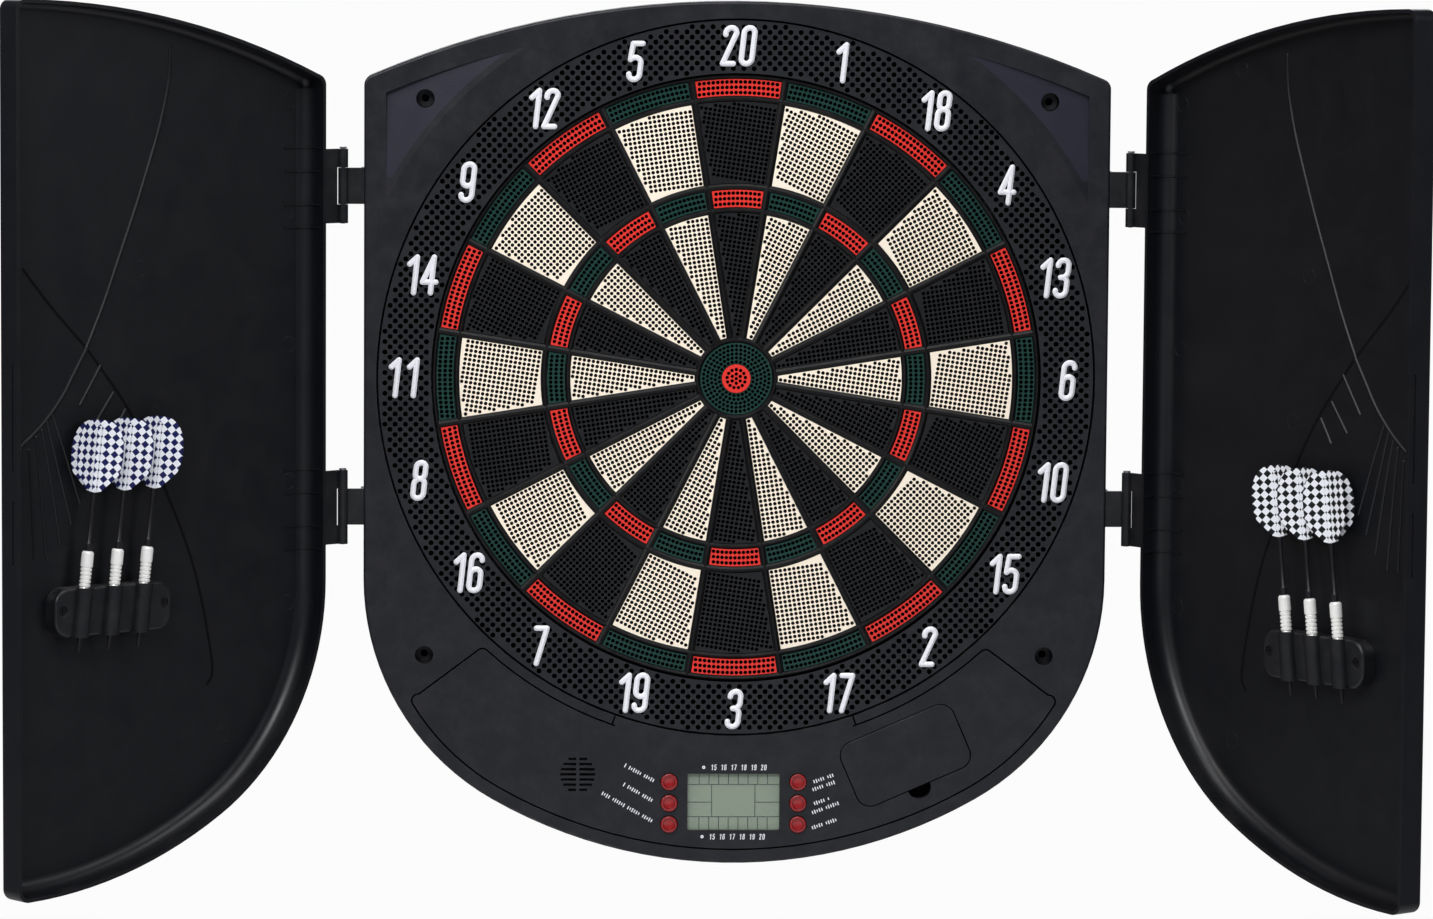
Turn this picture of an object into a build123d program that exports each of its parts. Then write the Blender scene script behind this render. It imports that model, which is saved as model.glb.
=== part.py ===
from build123d import *
import math
import os

# Electronic dartboard cabinet with two hinged doors and six soft-tip darts.
# Frame: origin on the bull's axis at the wall, +X right, +Z up, the board faces -Y.
# "out" below is the distance in front of the wall, so Y = -out. All sizes in millimetres.

os.makedirs("parts", exist_ok=True)

# ---- driving dimensions: cabinet ----
BODY_HALF_W = 242.0
BODY_TOP = 245.0
TOP_ARC_R = 600.0
CORNER_R = 7.0
BOTTOM_R = 318.0
BLEND_R = 167.0
BODY_DEPTH = 34.0
SPLIT_OUT = 16.0
WALL = 2.5

# ---- driving dimensions: target ----
OPENING_R = 234.0
CATCH_IN_R = 198.6
CATCH_OUT_R = 232.6
CATCH_LOW = 24.0
CATCH_FACE = 32.5
SPIDER_LOW = 21.0
SPIDER_TOP = 29.5
TARGET_LOW = 20.5
TARGET_FACE = 28.7
SECTOR_DEG = 18.0
WEB_HALF = 2.0
WEB_GAP = 0.4
INNER_BULL_R = 9.5
OUTER_BULL_R = 23.4
RINGS = {"bull_rim": (23.9, 26.9), "triple_in": (108.3, 111.4), "triple_out": (123.3, 127.0),
         "double_in": (180.4, 183.6), "outer": (195.1, 198.2)}
BANDS = {"inner_single": (27.3, 107.9), "triple": (111.8, 122.9),
         "outer_single": (127.4, 180.0), "double": (184.0, 194.7)}
NUMBER_R = 216.3
NUMBERS = (20, 1, 18, 4, 13, 6, 10, 15, 2, 17, 3, 19, 7, 16, 8, 11, 14, 9, 12, 5)

# ---- driving dimensions: fixings ----
WALL_SCREW_X = 202.5
WALL_SCREW_Z = 181.0
WALL_HOLE_R = 2.5
CASE_SCREWS = ((228, 150), (150, 211), (222, -150), (100, -292))

# ---- driving dimensions: console ----
LCD_X, LCD_Z, LCD_W, LCD_H = 0.0, -277.5, 60.4, 37.4
BUTTON_X = 42.2
BUTTON_Z = (-264.2, -278.2, -292.2)
BUTTON_R = 5.6
SPEAKER_X, SPEAKER_Z, GRILLE_R = -102.0, -259.4, 12.5
BATTERY_X, BATTERY_Z, BATTERY_TILT = 112.5, -246.5, 23.5
BATTERY_W, BATTERY_H, BATTERY_R = 81.0, 46.0, 10.0
CELL_R, CELL_LEN, CELL_PITCH = 7.0, 49.5, 14.4

# ---- driving dimensions: doors and hinges ----
HINGE_X = 255.5
HINGE_Z = (124.3, -84.2)
DOOR_GAP = 0.4
DOOR_DEPTH = 20.0
DOOR_SKIN = 2.2
MEET_GAP = 1.0
DOOR_OPEN = {"left": 140.6, "right": 126.3}
KNUCKLE_R = 3.25
PIN_R = 1.42
PIN_BORE_R = 1.5
BODY_KNUCKLE_H = 23.4
EAR_H = 12.0
EAR_GAP = 0.3

# ---- driving dimensions: darts and their holders ----
HOLDER_FROM_HINGE = {"left": 177.0, "right": 167.0}
HOLDER_TOP_Z = {"left": -123.5, "right": -150.5}
HOLDER_W, HOLDER_H = 90.0, 31.0
DART_PITCH = 23.0
DART_LEAN = 7.0
DART_OUT = 40.5
DART_BORE_R = 4.4
WING_W = 16.3
WING_ANGLES = (5.0, -35.0, 145.0, 185.0)


def at(out):
    """Plane facing the player, at this distance in front of the wall."""
    return Plane(origin=(0, -out, 0), x_dir=(1, 0, 0), z_dir=(0, -1, 0))


def slab(sketch, low, high):
    """A sketch in X and Z, made solid from one distance off the wall to another."""
    return extrude(at(low) * sketch, amount=high - low)


def place(sketch, x, z, turn=0.0):
    return Pos(x, z, 0) * Rot(0, 0, turn) * sketch


def post(radius, x, z, low, high):
    return slab(place(Circle(radius), x, z), low, high)


def save(name, *solids):
    """Write one node: a single solid, or a group of like solids."""
    parts = []
    for item in solids:
        parts.extend(item.solids())
    shape = parts[0] if len(parts) == 1 else Compound(children=parts)
    export_step(shape, f"parts/{name}.step")


# ---------------------------------------------------------------- outline
def outline(inset=0.0):
    """Cabinet outline: shallow arc on top, straight sides, round belly."""
    half = BODY_HALF_W - inset
    top_r = TOP_ARC_R - inset
    top_centre = BODY_TOP - TOP_ARC_R
    side_top = top_centre + math.sqrt(top_r ** 2 - half ** 2)
    blend_x = BODY_HALF_W - BLEND_R
    blend_z = -math.sqrt((BOTTOM_R - BLEND_R) ** 2 - blend_x ** 2)
    blend_r = BLEND_R - inset
    low_r = BOTTOM_R - inset
    turn = math.atan2(blend_z, blend_x)
    join = (low_r * math.cos(turn), low_r * math.sin(turn))
    belly = (blend_x + blend_r * math.cos(turn / 2), blend_z + blend_r * math.sin(turn / 2))
    edges = [
        ThreePointArc((-half, side_top), (0, BODY_TOP - inset), (half, side_top)),
        Line((half, side_top), (half, blend_z)),
        ThreePointArc((half, blend_z), belly, join),
        ThreePointArc(join, (0, -low_r), (-join[0], join[1])),
        ThreePointArc((-join[0], join[1]), (-belly[0], belly[1]), (-half, blend_z)),
        Line((-half, blend_z), (-half, side_top)),
    ]
    face = make_face(edges)
    corners = face.vertices().sort_by(Axis.Y)[-2:]
    return fillet(corners, max(CORNER_R - inset / 2, 1.5))


# ---------------------------------------------------------------- cabinet
POCKET_INSET = 14.0
POCKET_R = 255.0
POCKET_SLOPE = 0.1
POCKET_DEPTH = 4.0


def corner_pockets(low, high, grow=0.0):
    """The two upper corners inside the rim: where the face slopes down away from the ring."""
    region = outline(POCKET_INSET - grow) - Circle(POCKET_R - 3 * grow)
    upper = Pos(0, 165) * Rectangle(520, 180)
    return slab(region & upper, low, high)


def ring_cone():
    """Cone that the sloping pocket floors lie on."""
    spread = POCKET_DEPTH / POCKET_SLOPE
    cone = Cone(bottom_radius=POCKET_R + spread, top_radius=POCKET_R, height=POCKET_DEPTH)
    return at(BODY_DEPTH - POCKET_DEPTH / 2) * cone


def grille_slots():
    """Seven horizontal slots over the speaker, with a rib down the middle."""
    pitch = 3.4
    slots = Sketch()
    for row in range(7):
        level = (row - 3) * pitch
        reach = math.sqrt(GRILLE_R ** 2 - level ** 2) - 1.2
        for side in (-1, 1):
            slot = Rectangle(reach - 0.9, 1.9)
            slots += place(slot, side * (reach / 2 + 0.6), level)
    return place(slots, SPEAKER_X, SPEAKER_Z)


def battery_plate(shrink=0.0):
    plate = RectangleRounded(BATTERY_W - 2 * shrink, BATTERY_H - 2 * shrink, BATTERY_R - shrink)
    return place(plate, BATTERY_X, BATTERY_Z, BATTERY_TILT)


def battery_notch(radius):
    """Half-moon finger notch under the middle of the cover's lower edge."""
    spot = Pos(0, -BATTERY_H / 2) * Circle(radius)
    return place(spot, BATTERY_X, BATTERY_Z, BATTERY_TILT)


def console_groove():
    """Thin line that sets the console apart: along the rim, up two diagonals, along the ring."""
    rim_inset = 8.5
    ring_gap = 5.6
    width = 1.2
    corner = 5.0
    apron = Polygon((166, -176), (206, -206), (330, -206), (330, -330), (-330, -330), (-330, -206),
                    (-206, -206), (-166, -176), align=None)
    area = (outline(rim_inset) - Circle(OPENING_R + ring_gap)) & apron
    area = offset(offset(area, amount=-corner), amount=corner)
    line = area - offset(area, amount=-width)
    # below the display the line is broken, and joins the ring by two short steps
    step_turn = 19.4
    line -= Pos(0, -OPENING_R) * Rectangle(2 * OPENING_R * math.sin(math.radians(step_turn)), 24)
    for side in (-1, 1):
        line += Rot(0, 0, side * step_turn) * Pos(0, -OPENING_R - ring_gap / 2) * Rectangle(width, ring_gap + 1.4)
    return line


def make_front_bezel():
    face = slab(outline(), BODY_DEPTH - WALL, BODY_DEPTH)
    wall = slab(outline() - outline(WALL), SPLIT_OUT, BODY_DEPTH - WALL)
    bezel = face + wall
    front_edges = bezel.faces().sort_by(Axis.Y)[0].outer_wire().edges()
    bezel = fillet(front_edges, 1.8)
    flange = slab(Circle(OPENING_R + 2.0), 20.0, BODY_DEPTH - WALL)
    bezel += flange & slab(outline(0.8), 20.0, BODY_DEPTH - WALL)
    bezel += corner_pockets(BODY_DEPTH - WALL - POCKET_DEPTH, BODY_DEPTH - WALL, grow=2.0)
    bezel -= corner_pockets(BODY_DEPTH - POCKET_DEPTH, BODY_DEPTH + 1.0) - ring_cone()
    bezel -= slab(Circle(OPENING_R), 10.0, BODY_DEPTH + 1.0)
    # tubes for the wall screws, open to the front
    for x in (-WALL_SCREW_X, WALL_SCREW_X):
        for z in (-WALL_SCREW_Z, WALL_SCREW_Z):
            bezel += post(7.8, x, z, SPLIT_OUT, BODY_DEPTH - WALL)
            bezel -= post(6.0, x, z, SPLIT_OUT - 1.0, BODY_DEPTH + 1.0)
    # pillars that take the case screws
    for x, z in CASE_SCREWS:
        for side in (-1, 1):
            bezel += post(4.0, side * x, z, 10.2, BODY_DEPTH - WALL)
            bezel -= post(1.5, side * x, z, 9.0, 24.0)
    # display aperture and its frame
    bezel += slab(place(Rectangle(LCD_W + 6, LCD_H + 6), LCD_X, LCD_Z), 30.0, BODY_DEPTH - WALL)
    bezel -= slab(place(RectangleRounded(LCD_W, LCD_H, 1.5), LCD_X, LCD_Z), 20.0, BODY_DEPTH + 1.0)
    # button guides
    for side in (-1, 1):
        for z in BUTTON_Z:
            bezel += post(BUTTON_R + 1.1, side * BUTTON_X, z, 29.5, BODY_DEPTH - WALL)
            bezel -= post(BUTTON_R + 0.35, side * BUTTON_X, z, 20.0, BODY_DEPTH + 1.0)
    # speaker grille, and the ring that locates the speaker
    bezel += slab(place(Circle(21.5) - Circle(20.3), SPEAKER_X, SPEAKER_Z), 26.0, BODY_DEPTH - WALL)
    bezel -= slab(grille_slots(), 20.0, BODY_DEPTH + 1.0)
    # battery bay: a box behind the face, with a seat for the cover
    bezel += slab(battery_plate(-1.0), 13.5, BODY_DEPTH - WALL)
    bezel -= slab(battery_plate(1.2), 15.0, BODY_DEPTH + 1.0)
    bezel -= slab(battery_plate(0.0), BODY_DEPTH - 2.4, BODY_DEPTH + 1.0)
    bezel += slab(battery_notch(9.5) - battery_plate(-1.0), BODY_DEPTH - 9.5, BODY_DEPTH - WALL)
    bezel -= slab(battery_notch(7.8), BODY_DEPTH - 8.0, BODY_DEPTH + 1.0)
    bezel -= slab(console_groove(), BODY_DEPTH - 1.0, BODY_DEPTH + 1.0)
    return bezel


def make_rear_housing():
    tray = slab(outline(), 0, SPLIT_OUT - 0.05)
    back_edges = tray.faces().sort_by(Axis.Y)[-1].outer_wire().edges()
    tray = fillet(back_edges, 2.0)
    tray -= slab(outline(WALL), WALL, SPLIT_OUT + 1.0)
    for x in (-WALL_SCREW_X, WALL_SCREW_X):
        for z in (-WALL_SCREW_Z, WALL_SCREW_Z):
            tray += post(5.6, x, z, WALL, 22.0)
            tray -= post(WALL_HOLE_R, x, z, -1.0, 23.0)
    for x, z in CASE_SCREWS:
        for side in (-1, 1):
            tray += post(6.0, side * x, z, WALL, 10.0)
            tray -= post(4.0, side * x, z, -1.0, 6.0)
            tray -= post(1.8, side * x, z, -1.0, 11.0)
    # ribs that carry the target from behind
    for radius in (60.0, 130.0, 196.0):
        tray += slab(Circle(radius + 1.0) - Circle(radius - 1.0), WALL, 15.0)
    return tray


def make_case_screws():
    screws = []
    for x, z in CASE_SCREWS:
        for side in (-1, 1):
            head = post(3.2, side * x, z, 3.6, 6.0)
            shank = post(1.45, side * x, z, 6.0, 22.0)
            cross = place(Rectangle(4.0, 0.9) + Rectangle(0.9, 4.0), side * x, z)
            screws.append(head + shank - slab(cross, 3.0, 4.8))
    return screws


# ---------------------------------------------------------------- target
def wedge(turn, edge_gap, reach=260.0):
    """The space between two neighbouring spokes, kept clear of both by edge_gap."""
    half = math.radians(SECTOR_DEG / 2)
    apex = edge_gap / math.sin(half)
    spread = reach * math.tan(half)
    shape = Polygon((0, apex), (spread, apex + reach), (-spread, apex + reach), align=None)
    return Rot(0, 0, -turn) * shape


def target_prism(band, index):
    low, high = BANDS[band]
    cell = (Circle(high) - Circle(low)) & wedge(index * SECTOR_DEG, WEB_HALF + WEB_GAP)
    return slab(cell, TARGET_LOW, TARGET_FACE)


def make_spider():
    web = Sketch()
    for low, high in RINGS.values():
        web += Circle(high) - Circle(low)
    start = RINGS["bull_rim"][1] - 0.5
    end = RINGS["outer"][0] + 0.5
    for index in range(20):
        spoke = Pos(0, (start + end) / 2) * Rectangle(2 * WEB_HALF, end - start)
        web += Rot(0, 0, -(index + 0.5) * SECTOR_DEG) * spoke
    return slab(web, SPIDER_LOW, SPIDER_TOP)


def make_catch_ring():
    seam = 0.25
    pieces = []
    for quarter in range(4):
        square = Pos(150 + seam / 2, 150 + seam / 2) * Rectangle(300, 300)
        cell = (Circle(CATCH_OUT_R) - Circle(CATCH_IN_R)) & (Rot(0, 0, 45 + 90 * quarter) * square)
        pieces.append(slab(cell, CATCH_LOW, CATCH_FACE))
    return pieces


DIGIT_H = 27.2
STROKE = 4.2
SLANT = 0.11


def digit_lines(digit):
    """Centre lines of a condensed, slightly slanted digit, centred on the origin."""
    a = 3.2
    c = (DIGIT_H - STROKE) / 2
    m = 0.4

    def lean(points):
        return [(x + SLANT * y, y) for x, y in points]

    def bar(*points):
        return Line(*lean(points))

    def bend(*points):
        return ThreePointArc(*lean(points))

    if digit == "0":
        return [bar((-a, a - c), (-a, c - a)), bend((-a, c - a), (0, c), (a, c - a)),
                bar((a, c - a), (a, a - c)), bend((a, a - c), (0, -c), (-a, a - c))]
    if digit == "1":
        return [bar((a * 0.5, -c), (a * 0.5, c)), bar((a * 0.5, c), (-a * 0.8, c - 4.6))]
    if digit == "2":
        return [bend((-a, c - a - 1), (0, c), (a, c - a)), bar((a, c - a), (-a, -c)),
                bar((-a, -c), (a, -c))]
    if digit == "3":
        return [bend((-a, c - a), (0, c), (a, c - a)), bar((a, c - a), (a, m + a)),
                bend((a, m + a), (a * 0.7, m + 1.1), (-a * 0.3, m)),
                bend((-a * 0.3, m), (a * 0.7, m - 1.1), (a, m - a)),
                bar((a, m - a), (a, a - c)), bend((a, a - c), (0, -c), (-a, a - c))]
    if digit == "4":
        return [bar((a * 0.6, -c), (a * 0.6, c)), bar((a * 0.6, c), (-a * 1.1, -c * 0.4)),
                bar((-a * 1.1, -c * 0.4), (a * 1.4, -c * 0.4))]
    if digit == "5":
        return [bar((a, c), (-a * 0.8, c)), bar((-a * 0.8, c), (-a, 1.2)),
                bend((-a, 1.2), (0, 2.6), (a, 1.4 - a)), bar((a, 1.4 - a), (a, a - c)),
                bend((a, a - c), (0, -c), (-a, a - c))]
    if digit == "7":
        return [bar((-a, c), (a, c)), bar((a, c), (-a * 0.3, -c))]
    if digit == "8":
        lower = c - 1.2
        w = a * 0.9
        return [bend((-w, c - a), (0, c), (w, c - a)), bar((w, c - a), (w, 1 + a)), bar((-w, c - a), (-w, 1 + a)),
                bend((-w, 1 + a), (0, 1), (w, 1 + a)), bend((-a, 1 - a), (0, 1), (a, 1 - a)),
                bar((-a, 1 - a), (-a, a - lower)), bar((a, 1 - a), (a, a - lower)),
                bend((-a, a - c), (0, -c), (a, a - c)),
                bar((-a, a - lower), (-a, a - c)), bar((a, a - lower), (a, a - c))]
    # 6, and 9 as a 6 turned over
    s = 1 if digit == "6" else -1
    return [bend((s * a, s * (c - a)), (0, s * c), (-s * a, s * (c - a))),
            bar((-s * a, s * (c - a)), (-s * a, s * (a - c))),
            bend((-s * a, s * (a - c)), (0, -s * c), (s * a, s * (a - c))),
            bar((s * a, s * (a - c)), (s * a, s * (m - a + 2))),
            bend((s * a, s * (m - a + 2)), (0, s * (m + 2)), (-s * a, s * (m - a + 2)))]


def make_numerals():
    """Upright numbers standing on the catch ring."""
    advance = 11.8
    solids = []
    for index, number in enumerate(NUMBERS):
        turn = math.radians(index * SECTOR_DEG)
        centre_x = NUMBER_R * math.sin(turn)
        centre_z = NUMBER_R * math.cos(turn)
        text = str(number)
        for place_no, digit in enumerate(text):
            shift = (place_no - (len(text) - 1) / 2) * advance
            if text != "11" and digit == "1" and len(text) == 2:
                shift += 1.2
            glyph = Sketch()
            for line in digit_lines(digit):
                glyph += trace(line, STROKE)
            raised = slab(place(glyph, centre_x + shift, centre_z), CATCH_FACE, CATCH_FACE + 1.5)
            solids.append(raised)
    return solids


# ---------------------------------------------------------------- inside
def make_lcd_window():
    return slab(place(RectangleRounded(LCD_W - 0.4, LCD_H - 0.4, 1.3), LCD_X, LCD_Z), 31.6, 33.2)


def make_button(side, z):
    x = side * BUTTON_X
    cap = post(BUTTON_R, x, z, 27.4, 36.0)
    rim = cap.faces().sort_by(Axis.Y)[0].edges()
    cap = fillet(rim, 1.0)
    dish = at(36.0) * (Pos(x, z, 14.6) * Sphere(15.2))
    return cap - dish + post(BUTTON_R + 1.1, x, z, 27.3, 28.3)


def make_batteries():
    cells = []
    frame = at(23.0) * Pos(BATTERY_X, BATTERY_Z, 0) * Rot(0, 0, BATTERY_TILT)
    for row in (-1, 0, 1):
        flip = 180 if row == 0 else 0
        body = Pos(0, row * CELL_PITCH, 0) * Rot(0, 90 + flip, 0) * Cylinder(CELL_R, CELL_LEN)
        shift = -1 if flip else 1
        nub = Pos(shift * (CELL_LEN / 2 + 0.5), row * CELL_PITCH, 0) * Rot(0, 90, 0) * Cylinder(2.7, 1.0)
        cells.append(frame * (body + nub))
    return cells


def make_battery_contacts():
    plates = []
    frame = at(23.0) * Pos(BATTERY_X, BATTERY_Z, 0) * Rot(0, 0, BATTERY_TILT)
    for side in (-1, 1):
        for row in (-1, 0, 1):
            plate = Pos(side * 33.0, row * CELL_PITCH, 0) * Box(0.5, 11.0, 11.0)
            spring = Pos(side * 31.0, row * CELL_PITCH, 0) * Rot(0, 90, 0) * Cylinder(3.4, 3.5)
            plates.append(frame * (plate + spring))
    return plates


def make_battery_cover():
    plate = slab(battery_plate(0.7), BODY_DEPTH - 2.2, BODY_DEPTH)
    top = plate.faces().sort_by(Axis.Y)[0].edges()
    plate = fillet(top, 0.4)
    return plate


def make_speaker():
    basket = post(20.0, SPEAKER_X, SPEAKER_Z, 26.5, 31.2)
    magnet = post(9.0, SPEAKER_X, SPEAKER_Z, 18.0, 26.5)
    cone = at(31.2) * (Pos(SPEAKER_X, SPEAKER_Z, 17.0) * Sphere(18.5))
    return basket + magnet - cone


# ---------------------------------------------------------------- hinges
def make_body_hinges():
    leaves = []
    for side in (-1, 1):
        for z in HINGE_Z:
            knuckle = Pos(side * HINGE_X, -BODY_DEPTH, z) * Cylinder(KNUCKLE_R, BODY_KNUCKLE_H)
            arm = Pos(side * (HINGE_X + BODY_HALF_W + 0.4) / 2, -BODY_DEPTH + 2.6, z) * Box(
                HINGE_X - BODY_HALF_W - 0.4, 3.2, BODY_KNUCKLE_H)
            pad = Pos(side * (BODY_HALF_W + 1.0), -24.0, z) * Box(2.0, 18.0, BODY_KNUCKLE_H)
            web = Pos(side * (BODY_HALF_W + 4.0), -26.0, z) * Box(8.0, 10.0, 2.0)
            leaf = knuckle + arm + pad + web
            leaf -= Pos(side * HINGE_X, -BODY_DEPTH, z) * Cylinder(PIN_BORE_R, 60)
            leaves.append(leaf)
    return leaves


def make_hinge_pins():
    length = BODY_KNUCKLE_H + 2 * (EAR_GAP + EAR_H)
    pins = []
    for side in (-1, 1):
        for z in HINGE_Z:
            shaft = Pos(side * HINGE_X, -BODY_DEPTH, z) * Cylinder(PIN_R, length + 0.6)
            head = Pos(side * HINGE_X, -BODY_DEPTH, z + length / 2 + 0.8) * Cylinder(2.3, 1.0)
            pins.append(shaft + head)
    return pins


# ---------------------------------------------------------------- doors
# Each door is drawn closed, as the left one, then mirrored for the right and swung open.
def on_door(side, shape):
    if side == "right":
        shape = mirror(shape, Plane.YZ)
        return shape.rotate(Axis((HINGE_X, -BODY_DEPTH, 0), (0, 0, 1)), DOOR_OPEN["right"])
    return shape.rotate(Axis((-HINGE_X, -BODY_DEPTH, 0), (0, 0, 1)), -DOOR_OPEN["left"])


DOOR_LOW = BODY_DEPTH + DOOR_GAP
DOOR_TOP = BODY_DEPTH + DOOR_DEPTH
PANEL_IN = DOOR_TOP - DOOR_SKIN
HINGE_TO_WALL = HINGE_X - BODY_HALF_W


def door_half(inset=0.0, corner=7.0):
    edge = MEET_GAP + inset
    half = outline(inset) & (Pos(-150 - edge, 0) * Rectangle(300, 800))
    tips = half.vertices().group_by(Axis.X)[-1]
    return fillet(tips, corner)


def make_door():
    shell = slab(door_half(), DOOR_LOW, DOOR_TOP)
    rim = shell.faces().sort_by(Axis.Y)[0].edges()
    shell = fillet(rim, 3.0)
    hollow = slab(door_half(DOOR_SKIN, 5.0), DOOR_LOW - 1.0, PANEL_IN)
    floor = hollow.faces().sort_by(Axis.Y)[0].edges()
    hollow = fillet(floor, 4.5)
    shell -= hollow
    # slots through the meeting wall, where the doors' catches engage
    for low, high in ((-48.0, 20.0), (-106.0, -66.0)):
        middle = (low + high) / 2
        shell -= Pos(-MEET_GAP, -(BODY_DEPTH + 5.5), middle) * Box(8.0, 2.2, high - low)
    return shell


def make_door_hinges():
    """One leaf to each hinge: two ears around the cabinet's knuckle, joined by a bridge along the wall."""
    leaves = []
    for z in HINGE_Z:
        leaf = Part()
        for end in (-1, 1):
            mid = z + end * (BODY_KNUCKLE_H / 2 + EAR_GAP + EAR_H / 2)
            knuckle = Pos(-HINGE_X, -BODY_DEPTH, mid) * Cylinder(KNUCKLE_R, EAR_H)
            arm = Pos(-HINGE_X + HINGE_TO_WALL / 2 - 0.05, -BODY_DEPTH - 2.1, mid) * Box(
                HINGE_TO_WALL - 0.1, 2.2, EAR_H)
            pad = Pos(-BODY_HALF_W - 0.85, -BODY_DEPTH - 8.5, mid) * Box(1.6, 15.0, EAR_H)
            web = Pos(-BODY_HALF_W - 4.0, -BODY_DEPTH - 5.5, mid) * Box(7.0, 7.0, 1.6)
            leaf += knuckle + arm + pad + web
        bridge = Pos(-BODY_HALF_W - 4.85, -BODY_DEPTH - 2.1, z) * Box(9.5, 2.2, BODY_KNUCKLE_H + 2.0)
        leaf += bridge
        leaf -= Pos(-HINGE_X, -BODY_DEPTH, z) * Cylinder(PIN_BORE_R, 80)
        leaves.append(leaf)
    return leaves


# A dart's own frame: origin where its axis passes the top of the holder, +Z up the dart.
def dart_frames(side):
    centre = -HINGE_X + HOLDER_FROM_HINGE[side]
    frames = []
    for row in (-1, 0, 1):
        spot = Pos(centre - row * DART_PITCH, -DART_OUT, HOLDER_TOP_Z[side])
        frames.append(spot * Rot(0, -DART_LEAN, 0))
    return frames


HOLDER_DEEP = 10.5
HOLDER_WALL = 2.0
HOLDER_FRONT = PANEL_IN - 0.3 - HOLDER_DEEP


def holder_block(side, inset, low, high):
    """The rack's rounded front, made smaller all round by inset."""
    centre = -HINGE_X + HOLDER_FROM_HINGE[side]
    middle = HOLDER_TOP_Z[side] - HOLDER_H / 2
    shape = RectangleRounded(HOLDER_W - 2 * inset, HOLDER_H - 2 * inset, 11.0 - inset)
    return slab(place(shape, centre, middle), low, high)


def make_holder(side):
    """Hollow moulded rack on the panel: three leaning sockets bulge from its front, a screw at each end."""
    centre = -HINGE_X + HOLDER_FROM_HINGE[side]
    top = HOLDER_TOP_Z[side]
    frames = dart_frames(side)
    rack = holder_block(side, 0.0, HOLDER_FRONT, PANEL_IN - 0.3)
    front = [e for e in rack.edges() if abs(e.center().Y + HOLDER_FRONT) < 0.01]
    rack = fillet(front, 1.8)
    rack -= holder_block(side, HOLDER_WALL, HOLDER_FRONT + HOLDER_WALL, PANEL_IN + 1.0)
    level = Pos(centre, -DART_OUT, top - HOLDER_H / 2) * Box(120, 40, HOLDER_H)
    for frame in frames:
        rack += (frame * Pos(0, 0, -16) * Cylinder(DART_BORE_R + 1.3, 60)) & level
    for end in (-1, 1):
        rack += post(4.6, centre + end * (HOLDER_W / 2 - 6), top - 14, HOLDER_FRONT + 1.0, PANEL_IN - 0.3)
        rack -= post(3.4, centre + end * (HOLDER_W / 2 - 6), top - 14, HOLDER_FRONT - 1.0, HOLDER_FRONT + 2.6)
        rack -= post(1.8, centre + end * (HOLDER_W / 2 - 6), top - 14, HOLDER_FRONT, PANEL_IN + 1.0)
    for frame in frames:
        rack -= frame * Pos(0, 0, -16) * Cylinder(DART_BORE_R, 80)
    return rack


def make_holder_screws(side):
    centre = -HINGE_X + HOLDER_FROM_HINGE[side]
    screws = []
    for end in (-1, 1):
        x, z = centre + end * (HOLDER_W / 2 - 6), HOLDER_TOP_Z[side] - 14
        cap = post(3.0, x, z, HOLDER_FRONT + 0.7, HOLDER_FRONT + 2.6)
        cross = place(Rectangle(4.0, 0.8) + Rectangle(0.8, 4.0), x, z)
        shank = post(1.7, x, z, HOLDER_FRONT + 2.6, PANEL_IN - 0.35)
        screws.append(cap + shank - slab(cross, HOLDER_FRONT, HOLDER_FRONT + 1.6))
    return screws


def make_dart(frame):
    """Barrel, point with shaft, and flight of one dart."""
    barrel = Pos(0, 0, -2) * Cylinder(3.6, 50) + Pos(0, 0, 17.5) * Cylinder(4.0, 9)
    for ridge in range(5):
        barrel += Pos(0, 0, 1.4 + ridge * 2.5) * Cylinder(4.0, 1.4)
    barrel = frame * barrel
    point = Pos(0, 0, -34) * Cone(0.9, 1.9, 14)
    shaft = Pos(0, 0, 52) * Cylinder(1.5, 58)
    flight = Part()
    for angle in WING_ANGLES:
        wing = Polygon((1.7, 60), (4.5, 60), (WING_W, 73.5), (WING_W, 99), (15.4, 102.6), (12.6, 105),
                       (9.0, 106), (4.6, 104.6), (1.7, 101), align=None)
        plate = extrude(Plane.XZ * wing, amount=0.2, both=True)
        flight += Rot(0, 0, angle) * plate
    flight += Pos(0, 0, 81) * (Cylinder(1.95, 42) - Cylinder(1.55, 42))
    return barrel, [frame * point, frame * shaft], frame * flight


# ---------------------------------------------------------------- assembly
save("front_bezel", make_front_bezel())
save("rear_housing", make_rear_housing())
save("case_screws", *make_case_screws())
save("catch_ring", *make_catch_ring())
save("numerals", *make_numerals())
save("spider", make_spider())

COLOURS = {"inner_single": ("black", "white"), "outer_single": ("black", "white"),
           "triple": ("red", "green"), "double": ("red", "green")}
for band, (even_name, odd_name) in COLOURS.items():
    save(f"{band}_{even_name}", *[target_prism(band, i) for i in range(0, 20, 2)])
    save(f"{band}_{odd_name}", *[target_prism(band, i) for i in range(1, 20, 2)])
save("inner_bull", slab(Circle(INNER_BULL_R - 0.2), TARGET_LOW, TARGET_FACE))
save("outer_bull", slab(Circle(OUTER_BULL_R) - Circle(INNER_BULL_R + 0.2), TARGET_LOW, TARGET_FACE))

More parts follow.
